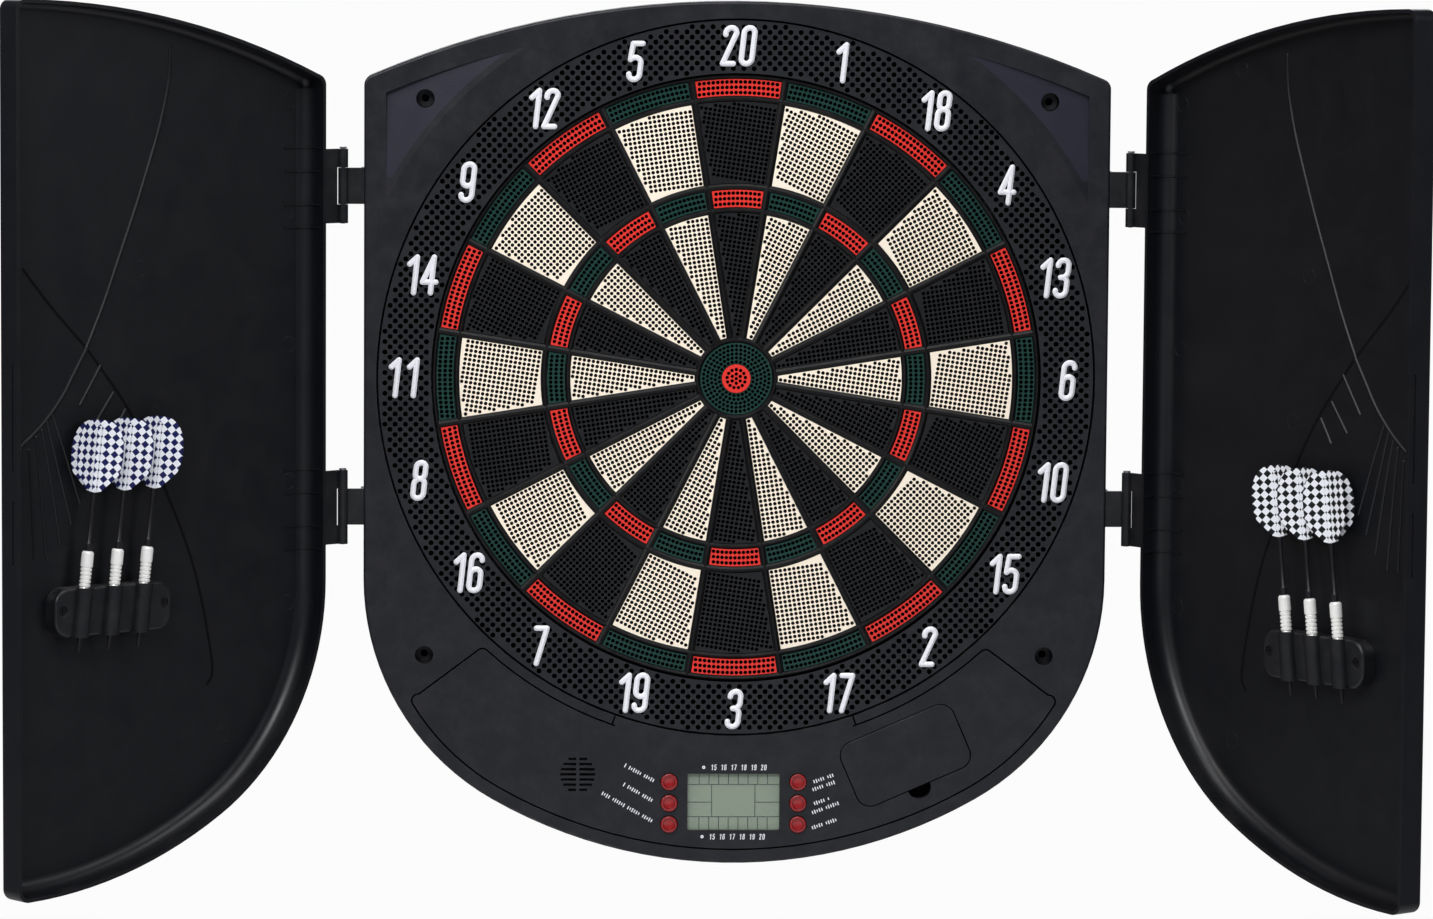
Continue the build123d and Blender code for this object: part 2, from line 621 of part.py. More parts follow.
save("sensor_membrane", slab(Circle(200.0) + Pos(0, -215) * Rectangle(30, 40), 18.2, 18.8))
save("backing_pad", slab(Circle(200.0), 15.0, 18.2))
save("circuit_board", slab(place(Rectangle(120, 50), 0, LCD_Z), 21.0, 22.6))
save("lcd_module", slab(place(Rectangle(64, 44), LCD_X, LCD_Z), 24.0, 29.6))
save("lcd_window", make_lcd_window())
save("button_pads", *[slab(place(Rectangle(13, 42), s * BUTTON_X, BUTTON_Z[1]), 23.0, 25.4) for s in (-1, 1)])
for side_name, side_sign in (("left", -1), ("right", 1)):
    for number, button_z in enumerate(BUTTON_Z, start=1):
        save(f"{side_name}_button_{number}", make_button(side_sign, button_z))
save("speaker", make_speaker())
save("batteries", *make_batteries())
save("battery_contacts", *make_battery_contacts())
save("battery_cover", make_battery_cover())

save("body_hinge_leaves", *make_body_hinges())
save("hinge_pins", *make_hinge_pins())
for side_name in ("left", "right"):
    save(f"{side_name}_door", on_door(side_name, make_door()))
    save(f"{side_name}_door_hinges", *[on_door(side_name, ear) for ear in make_door_hinges()])
    save(f"{side_name}_dart_holder", on_door(side_name, make_holder(side_name)))
    save(f"{side_name}_holder_screws", *[on_door(side_name, s) for s in make_holder_screws(side_name)])
    for number, dart_frame in enumerate(dart_frames(side_name), start=1):
        dart_barrel, dart_rod, dart_flight = make_dart(dart_frame)
        save(f"{side_name}_dart_{number}_barrel", on_door(side_name, dart_barrel))
        save(f"{side_name}_dart_{number}_shaft", *[on_door(side_name, rod) for rod in dart_rod])
        save(f"{side_name}_dart_{number}_flight", on_door(side_name, dart_flight))
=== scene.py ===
import math

import bmesh
import bpy
from mathutils import Matrix, Vector


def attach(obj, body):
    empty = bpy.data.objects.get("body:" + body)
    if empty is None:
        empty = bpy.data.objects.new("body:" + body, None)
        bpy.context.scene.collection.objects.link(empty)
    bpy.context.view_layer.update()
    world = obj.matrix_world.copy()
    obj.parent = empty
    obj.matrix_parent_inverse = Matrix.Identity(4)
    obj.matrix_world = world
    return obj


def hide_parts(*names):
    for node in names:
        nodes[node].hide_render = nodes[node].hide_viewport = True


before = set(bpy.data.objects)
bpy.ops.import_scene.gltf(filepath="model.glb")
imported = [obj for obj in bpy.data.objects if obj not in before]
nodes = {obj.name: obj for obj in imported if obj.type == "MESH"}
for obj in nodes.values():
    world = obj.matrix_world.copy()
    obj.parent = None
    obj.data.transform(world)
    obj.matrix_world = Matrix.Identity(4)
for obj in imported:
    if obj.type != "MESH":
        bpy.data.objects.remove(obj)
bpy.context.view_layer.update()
scene = bpy.context.scene

# ------------------------------------------------------------------ camera
# Stands about 3.7 m in front of the board and a little above it, turned
# slightly to the right, with a long lens so that the doors stay undistorted.
camera_data = bpy.data.cameras.new("camera")
camera_data.lens = 143.0
camera_data.sensor_width = 36.0
camera_data.clip_end = 500.0
camera = bpy.data.objects.new("camera", camera_data)
scene.collection.objects.link(camera)
yaw, pitch, roll = 0.0405, -0.0902, 0.0072
forward = Vector((math.sin(yaw) * math.cos(pitch), math.cos(yaw) * math.cos(pitch), math.sin(pitch)))
level = Vector((math.cos(yaw), -math.sin(yaw), 0.0))
upward = level.cross(forward)
side_axis = math.cos(roll) * level + math.sin(roll) * upward
top_axis = math.cos(roll) * upward - math.sin(roll) * level
stand = Matrix((side_axis, top_axis, -forward)).transposed().to_4x4()
stand.translation = (-0.1621, -3.7207, 0.2813)
camera.matrix_world = stand
scene.camera = camera

# ------------------------------------------------------------- node helpers
# Short ways to build node trees, for the finishes and for the grown meshes.
WHITE = (1.0, 1.0, 1.0, 1.0)


def add(tree, kind, sockets=None, **settings):
    """Put a node in a tree; each socket takes a value or another node's output."""
    made = tree.nodes.new(kind)
    for key, value in settings.items():
        setattr(made, key, value)
    for key, value in (sockets or {}).items():
        value = getattr(value, "socket", value)
        if isinstance(value, bpy.types.NodeSocket):
            tree.links.new(value, made.inputs[key])
        else:
            made.inputs[key].default_value = value
    return made


class Flow:
    """One output of a node. Arithmetic on it puts in the matching maths node."""

    def __init__(self, maker, node, output=0):
        self.maker, self.node, self.socket = maker, node, node.outputs[output]

    def __getitem__(self, output):
        return Flow(self.maker, self.node, output)

    def do(self, operation, *others):
        return self.maker("ShaderNodeMath", dict(enumerate((self, *others))), operation=operation)

    def remap(self, *ends):
        """Moved from one range onto another: from low, from high, to low, to high."""
        return self.maker("ShaderNodeMapRange", dict(enumerate((self, *ends))))

    def into(self, target):
        self.maker.tree.links.new(self.socket, target)


for sign, operation in {
    "add": "ADD", "sub": "SUBTRACT", "mul": "MULTIPLY", "truediv": "DIVIDE", "mod": "MODULO",
    "pow": "POWER", "abs": "ABSOLUTE", "gt": "GREATER_THAN", "lt": "LESS_THAN",
}.items():
    setattr(Flow, f"__{sign}__", lambda self, *others, operation=operation: self.do(operation, *others))


class Maker:
    """Adds nodes to one tree and gives back their outputs."""

    def __init__(self, tree):
        self.tree = tree

    def __call__(self, kind, sockets=None, output=0, **settings):
        return Flow(self, add(self.tree, kind, sockets, **settings), output)

    def place(self):
        return self("ShaderNodeTexCoord", output="Object")

    def noise(self, place, scale, detail, **more):
        return self("ShaderNodeTexNoise", {"Vector": place, "Scale": scale, "Detail": detail, **more})

    def blend(self, share, first, second):
        """A colour between two others."""
        return self("ShaderNodeMix", {0: share, 6: first, 7: second}, 2, data_type="RGBA")

    def scale(self, colour, factor):
        return self("ShaderNodeVectorMath", {0: colour, "Scale": factor}, operation="SCALE")

    def combine(self, **parts):
        return self("ShaderNodeCombineXYZ", parts)

    def join(self, *parts):
        """Several geometries as one."""
        whole = self("GeometryNodeJoinGeometry")
        for part in parts:
            part.into(whole.node.inputs[0])
        return whole

    def copies(self, points, piece, **turned):
        """Real copies of a piece, one on every point."""
        set_down = self("GeometryNodeInstanceOnPoints", {0: points, "Instance": piece, **turned})
        return self("GeometryNodeRealizeInstances", {0: set_down})

    def closed_line(self, count, place):
        """A closed outline with so many points, each put at its place."""
        line = self("GeometryNodeCurvePrimitiveLine")
        divided = self("GeometryNodeResampleCurve", {0: line, "Count": count})
        shaped = self("GeometryNodeSetPosition", {0: divided, "Position": place})
        return self("GeometryNodeSetSplineCyclic", {0: shaped, "Cyclic": True})


def new_group(name, inputs, outputs, kind="ShaderNodeTree"):
    """An empty node group. Inputs have a starting value or a socket type; gives maker, inputs and outputs."""
    tree = bpy.data.node_groups.new(name, kind)
    for socket, value in inputs.items():
        bare = isinstance(value, str)
        socket_type = value if bare else {float: "Float", int: "Int", bool: "Bool"}[type(value)]
        made = tree.interface.new_socket(socket, in_out="INPUT", socket_type="NodeSocket" + socket_type)
        if not bare:
            made.default_value = value
    for socket, socket_type in outputs.items():
        tree.interface.new_socket(socket, in_out="OUTPUT", socket_type="NodeSocket" + socket_type)
    make = Maker(tree)
    return make, make("NodeGroupInput"), add(tree, "NodeGroupOutput").inputs


def new_material(name):
    """A material with its node maker and the inputs of its surface shader."""
    material = bpy.data.materials.new(name)
    material.use_nodes = True
    return material, Maker(material.node_tree), material.node_tree.nodes["Principled BSDF"].inputs


def paint(red, green, blue):
    """A colour given in 0 to 255 steps, as the linear value that shaders use."""
    steps = [v / 255 for v in (red, green, blue)]
    return (*[v / 12.92 if v < 0.04045 else ((v + 0.055) / 1.055) ** 2.4 for v in steps], 1.0)


# ------------------------------------------------------------------ studio
# A white cyclorama floor far below the hanging board, a dim even room, and
# large soft boxes: a frontal key, one on each side, one overhead and a low fill.
scene.view_settings.view_transform = "Standard"


def stage_piece(name, mesh, material):
    """An object of the studio, which is no part of the board."""
    mesh.materials.append(material)
    piece = bpy.data.objects.new(name, mesh)
    scene.collection.objects.link(piece)


world = bpy.data.worlds.new("studio")
scene.world = world
world.use_nodes = True
world.node_tree.nodes.clear()
air = Maker(world.node_tree)
seen = air("ShaderNodeLightPath", output="Is Camera Ray")
room = air("ShaderNodeBackground", {"Color": (0.80, 0.84, 1.0, 1.0), "Strength": 0.11})
backing = air("ShaderNodeBackground", {"Color": WHITE, "Strength": 1.0})
either = air("ShaderNodeMixShader", {0: seen, 1: room, 2: backing})
add(air.tree, "ShaderNodeOutputWorld", {"Surface": either})

floor_paint, ground, ground_surface = new_material("floor_paint")
ground_surface["Base Color"].default_value = (0.85, 0.85, 0.85, 1.0)
ground_surface["Roughness"].default_value = 0.9
plain_ground = ground.tree.nodes["Principled BSDF"].outputs[0]
ground_seen = ground("ShaderNodeLightPath", output="Is Camera Ray")
ground_glow = ground("ShaderNodeEmission", {"Color": WHITE, "Strength": 0.97})
ground_mix = ground("ShaderNodeMixShader", {0: ground_seen, 1: plain_ground, 2: ground_glow})
ground_back = ground("ShaderNodeNewGeometry", output="Backfacing")
ground_clear = ground("ShaderNodeBsdfTransparent")
ground_side = ground("ShaderNodeMixShader", {0: ground_back, 1: ground_mix, 2: ground_clear})
ground_side.into(ground.tree.nodes["Material Output"].inputs["Surface"])

floor_mesh = bpy.data.meshes.new("floor")
floor_half, floor_level = 200.0, -1.3
floor_corners = [(x * floor_half, y * floor_half, floor_level) for x, y in ((-1, -1), (1, -1), (1, 1), (-1, 1))]
floor_mesh.from_pydata(floor_corners, [], [(0, 1, 2, 3)])
stage_piece("floor", floor_mesh, floor_paint)

# Wall plugs behind the board: four dark discs that show through the screw holes. They stand for the wall plugs and
# are painted shade for the dark inside of the holes.
plug_and_hole_shade_paint, plug_maker, plug_surface = new_material("plug_and_hole_shade_paint")
plug_surface["Base Color"].default_value = (0.01, 0.01, 0.01, 1.0)
PLUG_X, PLUG_Z, PLUG_RADIUS, PLUG_SIDES = 0.2025, 0.181, 0.006, 24
plug_shape = bmesh.new()
for x in (-PLUG_X, PLUG_X):
    for z in (-PLUG_Z, PLUG_Z):
        turns = [math.tau * k / PLUG_SIDES for k in range(PLUG_SIDES)]
        corners = [(x + PLUG_RADIUS * math.cos(turn), 0.002, z + PLUG_RADIUS * math.sin(turn)) for turn in turns]
        plug_shape.faces.new([plug_shape.verts.new(corner) for corner in corners])
plug_mesh = bpy.data.meshes.new("wall_plugs_and_hole_shade")
plug_shape.to_mesh(plug_mesh)
plug_shape.free()
stage_piece("wall_plugs_and_hole_shade", plug_mesh, plug_and_hole_shade_paint)

LIGHTS_MEET = Vector((0, -0.05, -0.05))
for light_name, spot, width, height, power, tint in (
    ("key_box", (-0.9, -3.3, 2.3), 1.8, 1.2, 84.0, (0.97, 0.98, 1.0)),
    ("soft_box_left", (-2.7, -1.7, 1.4), 1.2, 1.6, 30.0, (1.0, 0.985, 0.96)),
    ("soft_box_right", (2.8, -1.7, 1.3), 1.2, 1.6, 19.0, (0.95, 0.97, 1.0)),
    ("soft_box_over", (0.1, -1.1, 2.3), 2.2, 1.0, 26.0, (1.0, 1.0, 1.0)),
    ("low_fill", (0.5, -3.2, -1.0), 2.4, 0.6, 6.0, (0.92, 0.95, 1.0)),
    ("rim_box", (0.0, 2.0, 1.2), 2.4, 1.0, 20.0, (1.0, 1.0, 1.0)),
):
    box = bpy.data.lights.new(light_name, "AREA")
    box.shape = "RECTANGLE"
    box.size, box.size_y, box.energy, box.color = width, height, power, tint
    lamp = bpy.data.objects.new(light_name, box)
    scene.collection.objects.link(lamp)
    lamp.location = spot
    lamp.rotation_mode = "QUATERNION"
    lamp.rotation_quaternion = (LIGHTS_MEET - Vector(spot)).to_track_quat("-Z", "Y")

# ------------------------------------------------------------ rear housing
# Back half of the cabinet: one injection-moulded tray in black ABS with a
# spark-eroded grain. It carries the ribs and the bosses for every screw.


def make_grain_group():
    make, given, out = new_group(
        "moulding_grain",
        {"Place": "Vector", "Grain": 1100.0, "Mottle": 0.12},
        {"Height": "Float", "Tone": "Float", "Dulling": "Float"},
    )
    place, grain = given["Place"], given["Grain"]
    pits = make("ShaderNodeTexVoronoi", {"Vector": place, "Scale": grain}, feature="SMOOTH_F1")
    fuzz = make.noise(place, grain * 0.55, 3.0)
    (fuzz * 0.6 + pits * 0.5).into(out["Height"])
    swing = make.noise(place, 14.0, 4.0, Roughness=0.6) - 0.5
    (swing * given["Mottle"] + 1.0).into(out["Tone"])
    smear = make.noise(place, 42.0, 3.0, Distortion=0.6)
    (smear - 0.5).into(out["Dulling"])
    return make.tree


# Edges found by the bevel are coloured lighter: partly wear, partly a painted highlight.
def make_wear_group():
    make, given, out = new_group("edge_wear_and_highlight", {"Place": "Vector", "Reach": 0.0006}, {"Wear and highlight": "Float"})
    rounded = make("ShaderNodeBevel", {"Radius": given["Reach"]}, samples=4)
    surface = make("ShaderNodeNewGeometry", output="Normal")
    likeness = make("ShaderNodeVectorMath", {0: rounded, 1: surface}, "Value", operation="DOT_PRODUCT")
    edge = likeness.remap(0.995, 0.86, 0.0, 1.0)
    broken = make.noise(given["Place"], 240.0, 4.0).remap(0.35, 0.65, 0.25, 1.0)
    (edge * broken).into(out["Wear and highlight"])
    return make.tree


def make_dust_group():
    make, given, out = new_group("dust_film", {"Place": "Vector", "Amount": 0.2}, {"Dust": "Float"})
    surface = make("ShaderNodeNewGeometry", output="Normal")
    lying = make("ShaderNodeSeparateXYZ", {0: surface}, "Z").remap(0.2, 1.0, 0.12, 1.0)
    patch = make.noise(given["Place"], 75.0, 6.0, Roughness=0.7).remap(0.42, 0.72, 0.0, 1.0)
    (lying * patch * given["Amount"]).into(out["Dust"])
    return make.tree


grain_group = make_grain_group()
wear_and_highlight_group = make_wear_group()
dust_group = make_dust_group()


def moulded(
    name, colour, roughness, grain=1100.0, relief=0.25, mottle=0.12, wear_and_highlight=0.3, dust=0.25,
    gloss=0.35, reach=0.0006, face=None, metal=0.0,
):
    """Moulded plastic or painted part: grained, lighter on its edges as wear and painted highlight, dusty on top, and
    with a face level darkened in its drilled holes as painted shade.
    """
    material, make, surface = new_material(name)
    surface["Specular IOR Level"].default_value = gloss
    surface["Metallic"].default_value = metal
    place = make.place()
    skin = make("ShaderNodeGroup", {"Place": place, "Grain": grain, "Mottle": mottle}, node_tree=grain_group)
    edges = make("ShaderNodeGroup", {"Place": place, "Reach": reach}, node_tree=wear_and_highlight_group)
    film = make("ShaderNodeGroup", {"Place": place, "Amount": dust}, node_tree=dust_group)
    toned = make.scale(colour[:3], skin["Tone"])
    # lighter edge colour: wear and painted highlight together
    worn_or_highlit_colour = tuple(min(1.0, 0.05 + 1.5 * v) for v in colour[:3]) + (1.0,)
    worn_or_highlit = make.blend(edges["Wear and highlight"] * wear_and_highlight, toned, worn_or_highlit_colour)
    tone = make.blend(film["Dust"], worn_or_highlit, (0.30, 0.29, 0.28, 1.0))
    if face is not None:
        # painted shade: below its face the colour and the sheen fade towards black, standing in for the shadow inside
        # deep drilled holes
        depth = make("ShaderNodeSeparateXYZ", {0: place}, "Y")
        painted_hole_shade = depth.remap(0.00005 - face, 0.0007 - face, 1.0, 0.01)
        tone = make.scale(tone, painted_hole_shade)
        (painted_hole_shade * gloss).into(surface["Specular IOR Level"])
    tone.into(surface["Base Color"])
    (film["Dust"] * 0.4 + (skin["Dulling"] * 0.18 + roughness)).into(surface["Roughness"])
    bump = make("ShaderNodeBump", {"Strength": relief, "Distance": 0.0003, "Height": skin["Height"]})
    bump.into(surface["Normal"])
    return material


def coat(node, material):
    """Give a carried-over CAD part its real finish."""
    for held in nodes[node].material_slots:
        held.material = material


coat("rear_housing", moulded("housing_plastic", paint(30, 31, 35), 0.5, relief=0.35))
zinc_steel = moulded("zinc_steel", paint(170, 172, 176), 0.32, 2200.0, 0.08, wear_and_highlight=0.2, dust=0.1, metal=1.0)
coat("case_screws", zinc_steel)

# ------------------------------------------------- sensor stack and boards
# Behind the keys lie a foam pad and the printed sensor film, and behind the
# console a small circuit board with the display and the rubber key pads.


def printed(name, ground_colour, line_colour, pitch, width, roughness):
    """A sheet with fine printed tracks running both ways."""
    material, make, surface = new_material(name)
    surface["Roughness"].default_value = roughness
    place = make.place()
    axes = make("ShaderNodeSeparateXYZ", {0: place})
    along, up = [(axes[axis] + 1.0).do("PINGPONG", pitch) < width for axis in ("X", "Z")]
    lines = along.do("MAXIMUM", up)
    darker = tuple(v * 0.8 for v in ground_colour[:3]) + (1.0,)
    tone = make.blend(make.noise(place, 30.0, 2.0), ground_colour, darker)
    make.blend(lines, tone, line_colour).into(surface["Base Color"])
    bump = make("ShaderNodeBump", {"Strength": 0.3, "Distance": 0.0002, "Height": lines})
    bump.into(surface["Normal"])
    return material


coat("sensor_membrane", printed("sensor_film", paint(190, 196, 200), paint(60, 62, 66), 0.008, 0.0007, 0.3))
coat("circuit_board", printed("circuit_laminate", paint(28, 86, 52), paint(150, 120, 60), 0.0035, 0.0004, 0.35))
coat("backing_pad", moulded("pad_foam", paint(52, 52, 54), 0.95, grain=600.0, relief=0.8, wear_and_highlight=0.0))
coat("button_pads", moulded("pad_rubber", paint(196, 194, 186), 0.7, grain=900.0, relief=0.2, wear_and_highlight=0.0))

# --------------------------------------------------------------- front bezel
# Front half of the cabinet in satin black ABS: the sunk corners, the opening
# for the target and the console with its engraved border are one moulding.
SATIN_BLACK = (paint(18, 19, 25), 0.4, 1300.0, 0.22, 0.10)
# near-black colour that paints shade into the console's grooves and seats
PAINTED_GROOVE_SHADE = (0.0006, 0.0006, 0.0007, 1.0)
bezel_plastic = moulded("bezel_plastic", *SATIN_BLACK)
coat("front_bezel", bezel_plastic)


def shade_recesses(material):
    """Painted shade: the console's grooves and seats are coloured near black and lose their sheen. Painted light: the
    sloping floors of the sunk corners are a paler, bluer black.
    """
    make, surface = Maker(material.node_tree), material.node_tree.nodes["Principled BSDF"].inputs
    spot = make("ShaderNodeSeparateXYZ", {0: make.place()})
    outward = make("ShaderNodeSeparateXYZ", {0: make("ShaderNodeNewGeometry", output="True Normal")}, "Y")
    groove = (spot["Z"] < -0.15) * (spot["Y"] > -0.0334) * (outward < -0.9)
    # painted light: the sunk corners' sloping floors are coloured paler
    lit_pocket_mask = (spot["Z"] > 0.13) * (spot["Y"] > -0.0336) * ((spot["Y"] < -0.015) * (outward < -0.6))
    painted_pocket_light = make.blend(lit_pocket_mask, surface["Base Color"].links[0].from_socket, paint(33, 34, 46))
    make.blend(groove, painted_pocket_light, PAINTED_GROOVE_SHADE).into(surface["Base Color"])
    (groove * -0.33 + 0.35).into(surface["Specular IOR Level"])


shade_recesses(bezel_plastic)

# --------------------------------------------------------------------- keys
# Each target key is a moulded block drilled all over for the soft tips. The
# drilling lines up with one side of the key and leaves a thin land all round.
BLOCK_LEVELS = {"Face": 28.7, "Hole floor": 22.0, "Back": 20.5}
GEOMETRY = "GeometryNodeTree"


def make_drilled_group():
    """Outline and hole curves become a closed block: drilled face, hole walls, hole floors, back."""
    sockets = {"Outline": "Geometry", "Holes": "Geometry", **BLOCK_LEVELS}
    make, given, out = new_group("drilled_block", sockets, {"Block": "Geometry"}, GEOMETRY)
    face = make("GeometryNodeFillCurve", {0: make.join(given["Outline"], given["Holes"])})
    rise = given["Face"] - given["Hole floor"]
    upper = make("GeometryNodeExtrudeMesh", {0: face, "Offset Scale": rise, "Individual": False})
    floors = make("GeometryNodeFillCurve", {0: given["Holes"]})
    plate = make("GeometryNodeFillCurve", {0: given["Outline"]})
    drop = given["Back"] - given["Hole floor"]
    lower = make("GeometryNodeExtrudeMesh", {0: plate, "Offset Scale": drop, "Individual": False})
    whole = make.join(upper, floors, make("GeometryNodeFlipFaces", {0: lower}))
    welded = make("GeometryNodeMergeByDistance", {0: whole, "Distance": 0.002})
    lift = make.combine(Z=given["Hole floor"])
    make("GeometryNodeTransform", {0: welded, "Translation": lift}).into(out["Block"])
    return make.tree


drilled_group = make_drilled_group()


def drill(make, given, outline, holes):
    """A drilled block, from curves for its outline and its holes."""
    levels = {name: given[name] for name in BLOCK_LEVELS}
    return make("GeometryNodeGroup", {"Outline": outline, "Holes": holes, **levels}, node_tree=drilled_group)


def stand_up(make, geometry, material, out):
    """Turn millimetres lying flat into metres facing the player, and give them their finish."""
    upright = {0: geometry, "Rotation": (math.pi / 2, 0.0, 0.0), "Scale": (0.001,) * 3}
    flat = {0: make("GeometryNodeTransform", upright), "Shade Smooth": False}
    finished = {0: make("GeometryNodeSetShadeSmooth", flat), "Material": material}
    make("GeometryNodeSetMaterial", finished).into(out)


def make_key_tree():
    make, given, out = new_group(
        "target_key",
        {
            "Sector": 18.0, "Side gap": 2.4, "Inner radius": 27.3, "Outer radius": 107.9, "Outline points": 24,
            "First row": 2.0, "Row pitch": 2.95, "Column pitch": 2.95, "Side land": 1.6, "Rows": 28,
            "Columns": 12, "Curved rows": 0.0, "Hole radius": 0.8, "Hole sides": 8, "Land": 0.22,
            **BLOCK_LEVELS, "Keys": 10, "Key step": 36.0, "First key": 0.0, "Finish": "Material",
        },
        {"Keys": "Geometry"},
        GEOMETRY,
    )
    inner, outer = given["Inner radius"], given["Outer radius"]
    index = make("GeometryNodeInputIndex")

    # the outline runs along the outer arc and comes back along the inner one
    half_turn = (given["Sector"] * 0.5).do("RADIANS")
    half_count = given["Outline points"] * 0.5
    returning = index > half_count - 0.5
    share = (index - returning * half_count) / (half_count - 1.0)
    radius = (inner - outer) * returning + outer
    reach = half_turn - (given["Side gap"] / radius).do("ARCSINE")
    angle = reach * ((share * -2.0 + 1.0) * (returning * -2.0 + 1.0))
    corner = make.combine(X=radius * angle.do("SINE"), Y=radius * angle.do("COSINE"))
    outline = make.closed_line(given["Outline points"], corner)

    # rows and columns of holes, square to one side of the key or following its arcs
    row = index % given["Rows"]
    column = ((index + 0.5) / given["Rows"]).do("FLOOR")
    sine, cosine = half_turn.do("SINE"), half_turn.do("COSINE")
    along = (inner + given["First row"]) + row * given["Row pitch"]
    across = (given["Side gap"] + given["Side land"]) + column * given["Column pitch"]
    straight_x = along * sine - across * cosine
    straight_y = along * cosine + across * sine
    curved_x = (column - (given["Columns"] - 1.0) * 0.5) * given["Column pitch"]
    curved_y = (along * along - curved_x * curved_x).do("SQRT")
    hole_place = make.combine(
        X=(curved_x - straight_x) * given["Curved rows"] + straight_x,
        Y=(curved_y - straight_y) * given["Curved rows"] + straight_y,
    )
    points = make("GeometryNodePoints", {"Count": given["Rows"] * given["Columns"], "Position": hole_place})

    # holes that would break through the land round the key are left out
    spot = make("GeometryNodeInputPosition")
    parts = make("ShaderNodeSeparateXYZ", {0: spot})
    from_side = parts["Y"] * sine - abs(parts["X"]) * cosine - given["Side gap"]
    from_centre = make("ShaderNodeVectorMath", {0: spot}, "Value", operation="LENGTH")
    from_arcs = (from_centre - inner).do("MINIMUM", outer - from_centre)
    room_left = from_side.do("MINIMUM", from_arcs) - (given["Hole radius"] + given["Land"])
    outside = make("FunctionNodeCompare", {0: room_left, 1: 0.0}, data_type="FLOAT", operation="LESS_THAN")
    kept = make("GeometryNodeDeleteGeometry", {0: points, "Selection": outside}, domain="POINT")
    hole = {"Resolution": given["Hole sides"], "Radius": given["Hole radius"]}
    holes = make.copies(kept, make("GeometryNodeCurvePrimitiveCircle", hole))

    turn = (index * given["Key step"] + given["First key"]).do("RADIANS")
    spots = make("GeometryNodePoints", {"Count": given["Keys"]})
    whole = make.copies(spots, drill(make, given, outline, holes), Rotation=make.combine(Z=turn * -1.0))
    stand_up(make, whole, given["Finish"], out["Keys"])
    return make.tree


key_tree = make_key_tree()


def grow(tree, name, values):
    """Run a geometry tree with these named sizes and keep the result as a plain mesh object."""
    seed = bpy.data.objects.new(name + "_seed", bpy.data.meshes.new(name + "_seed"))
    scene.collection.objects.link(seed)
    modifier = seed.modifiers.new("grow", "NODES")
    modifier.node_group = tree
    for item in tree.interface.items_tree:
        if item.in_out == "INPUT" and item.name in values:
            modifier[item.identifier] = values[item.name]
    bpy.context.view_layer.update()
    grown = seed.evaluated_get(bpy.context.evaluated_depsgraph_get())
    mesh = bpy.data.meshes.new_from_object(grown)
    seed.modifiers.remove(modifier)
    bpy.data.objects.remove(seed)
    mesh.name = name
    piece = bpy.data.objects.new(name, mesh)
    scene.collection.objects.link(piece)
    return piece


# face levels in metres; below them the plastic is darkened as painted shade for its drilled holes
KEY_FACE, RING_FACE = 0.0287, 0.0325


def key_plastic(name, colour, roughness, relief, mottle, wear_and_highlight, dust, reach=0.0004):
    return moulded(name, colour, roughness, 1500.0, relief, mottle, wear_and_highlight, dust, reach=reach, face=KEY_FACE)


cream_plastic = key_plastic("cream_plastic", paint(253, 240, 220), 0.42, 0.12, 0.08, 0.0, 0.06, 0.0006)
black_plastic = key_plastic("black_key_plastic", paint(14, 15, 18), 0.38, 0.15, 0.12, 0.4, 0.15)
red_plastic = key_plastic("red_plastic", paint(226, 50, 42), 0.36, 0.12, 0.10, 0.10, 0.06)
green_plastic = key_plastic("green_plastic", paint(8, 54, 46), 0.38, 0.12, 0.12, 0.15, 0.1)

SINGLE = {
    "Row pitch": 2.95, "Column pitch": 2.95, "Side land": 1.45, "First row": 1.4, "Hole radius": 1.23, "Land": 0.07,
}
SCORING = {
    "Row pitch": 3.45, "Column pitch": 2.97, "Curved rows": 1.0, "Hole radius": 1.3, "Land": 0.07,
    "First row": 1.95, "Rows": 3,
}
BANDS = {
    "inner_single": {**SINGLE, "Inner radius": 27.3, "Outer radius": 107.9, "Rows": 29, "Columns": 11},
    "outer_single": {**SINGLE, "Inner radius": 127.4, "Outer radius": 180.0, "Rows": 26, "Columns": 18},
    "triple": {
        **SCORING, "Inner radius": 111.8, "Outer radius": 122.9, "Columns": 11, "Column pitch": 2.8,
        "Hole radius": 1.27, "First row": 2.1,
    },
    "double": {**SCORING, "Inner radius": 184.0, "Outer radius": 194.7, "Columns": 18},
}
KEY_COLOURS = {
    "single": (("black", black_plastic, "segment_black"), ("white", cream_plastic, "segment_cream")),
    "scoring": (("red", red_plastic, "segment_red"), ("green", green_plastic, "segment_green")),
}
for band_name, band_sizes in BANDS.items():
    pair = KEY_COLOURS["single" if "single" in band_name else "scoring"]
    for parity, (shade, finish, slot_name) in enumerate(pair):
        node_name = f"{band_name}_{shade}"
        sizes = {**band_sizes, "First key": 18.0 * parity, "Finish": finish}
        keys = grow(key_tree, node_name + "_keys", sizes)
        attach(keys, node_name)
        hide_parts(node_name)

# -------------------------------------------------------------------- bulls
# The two bull keys are round blocks drilled in rings: a red centre button
# inside a green collar, each pressing its own spot of the sensor film.


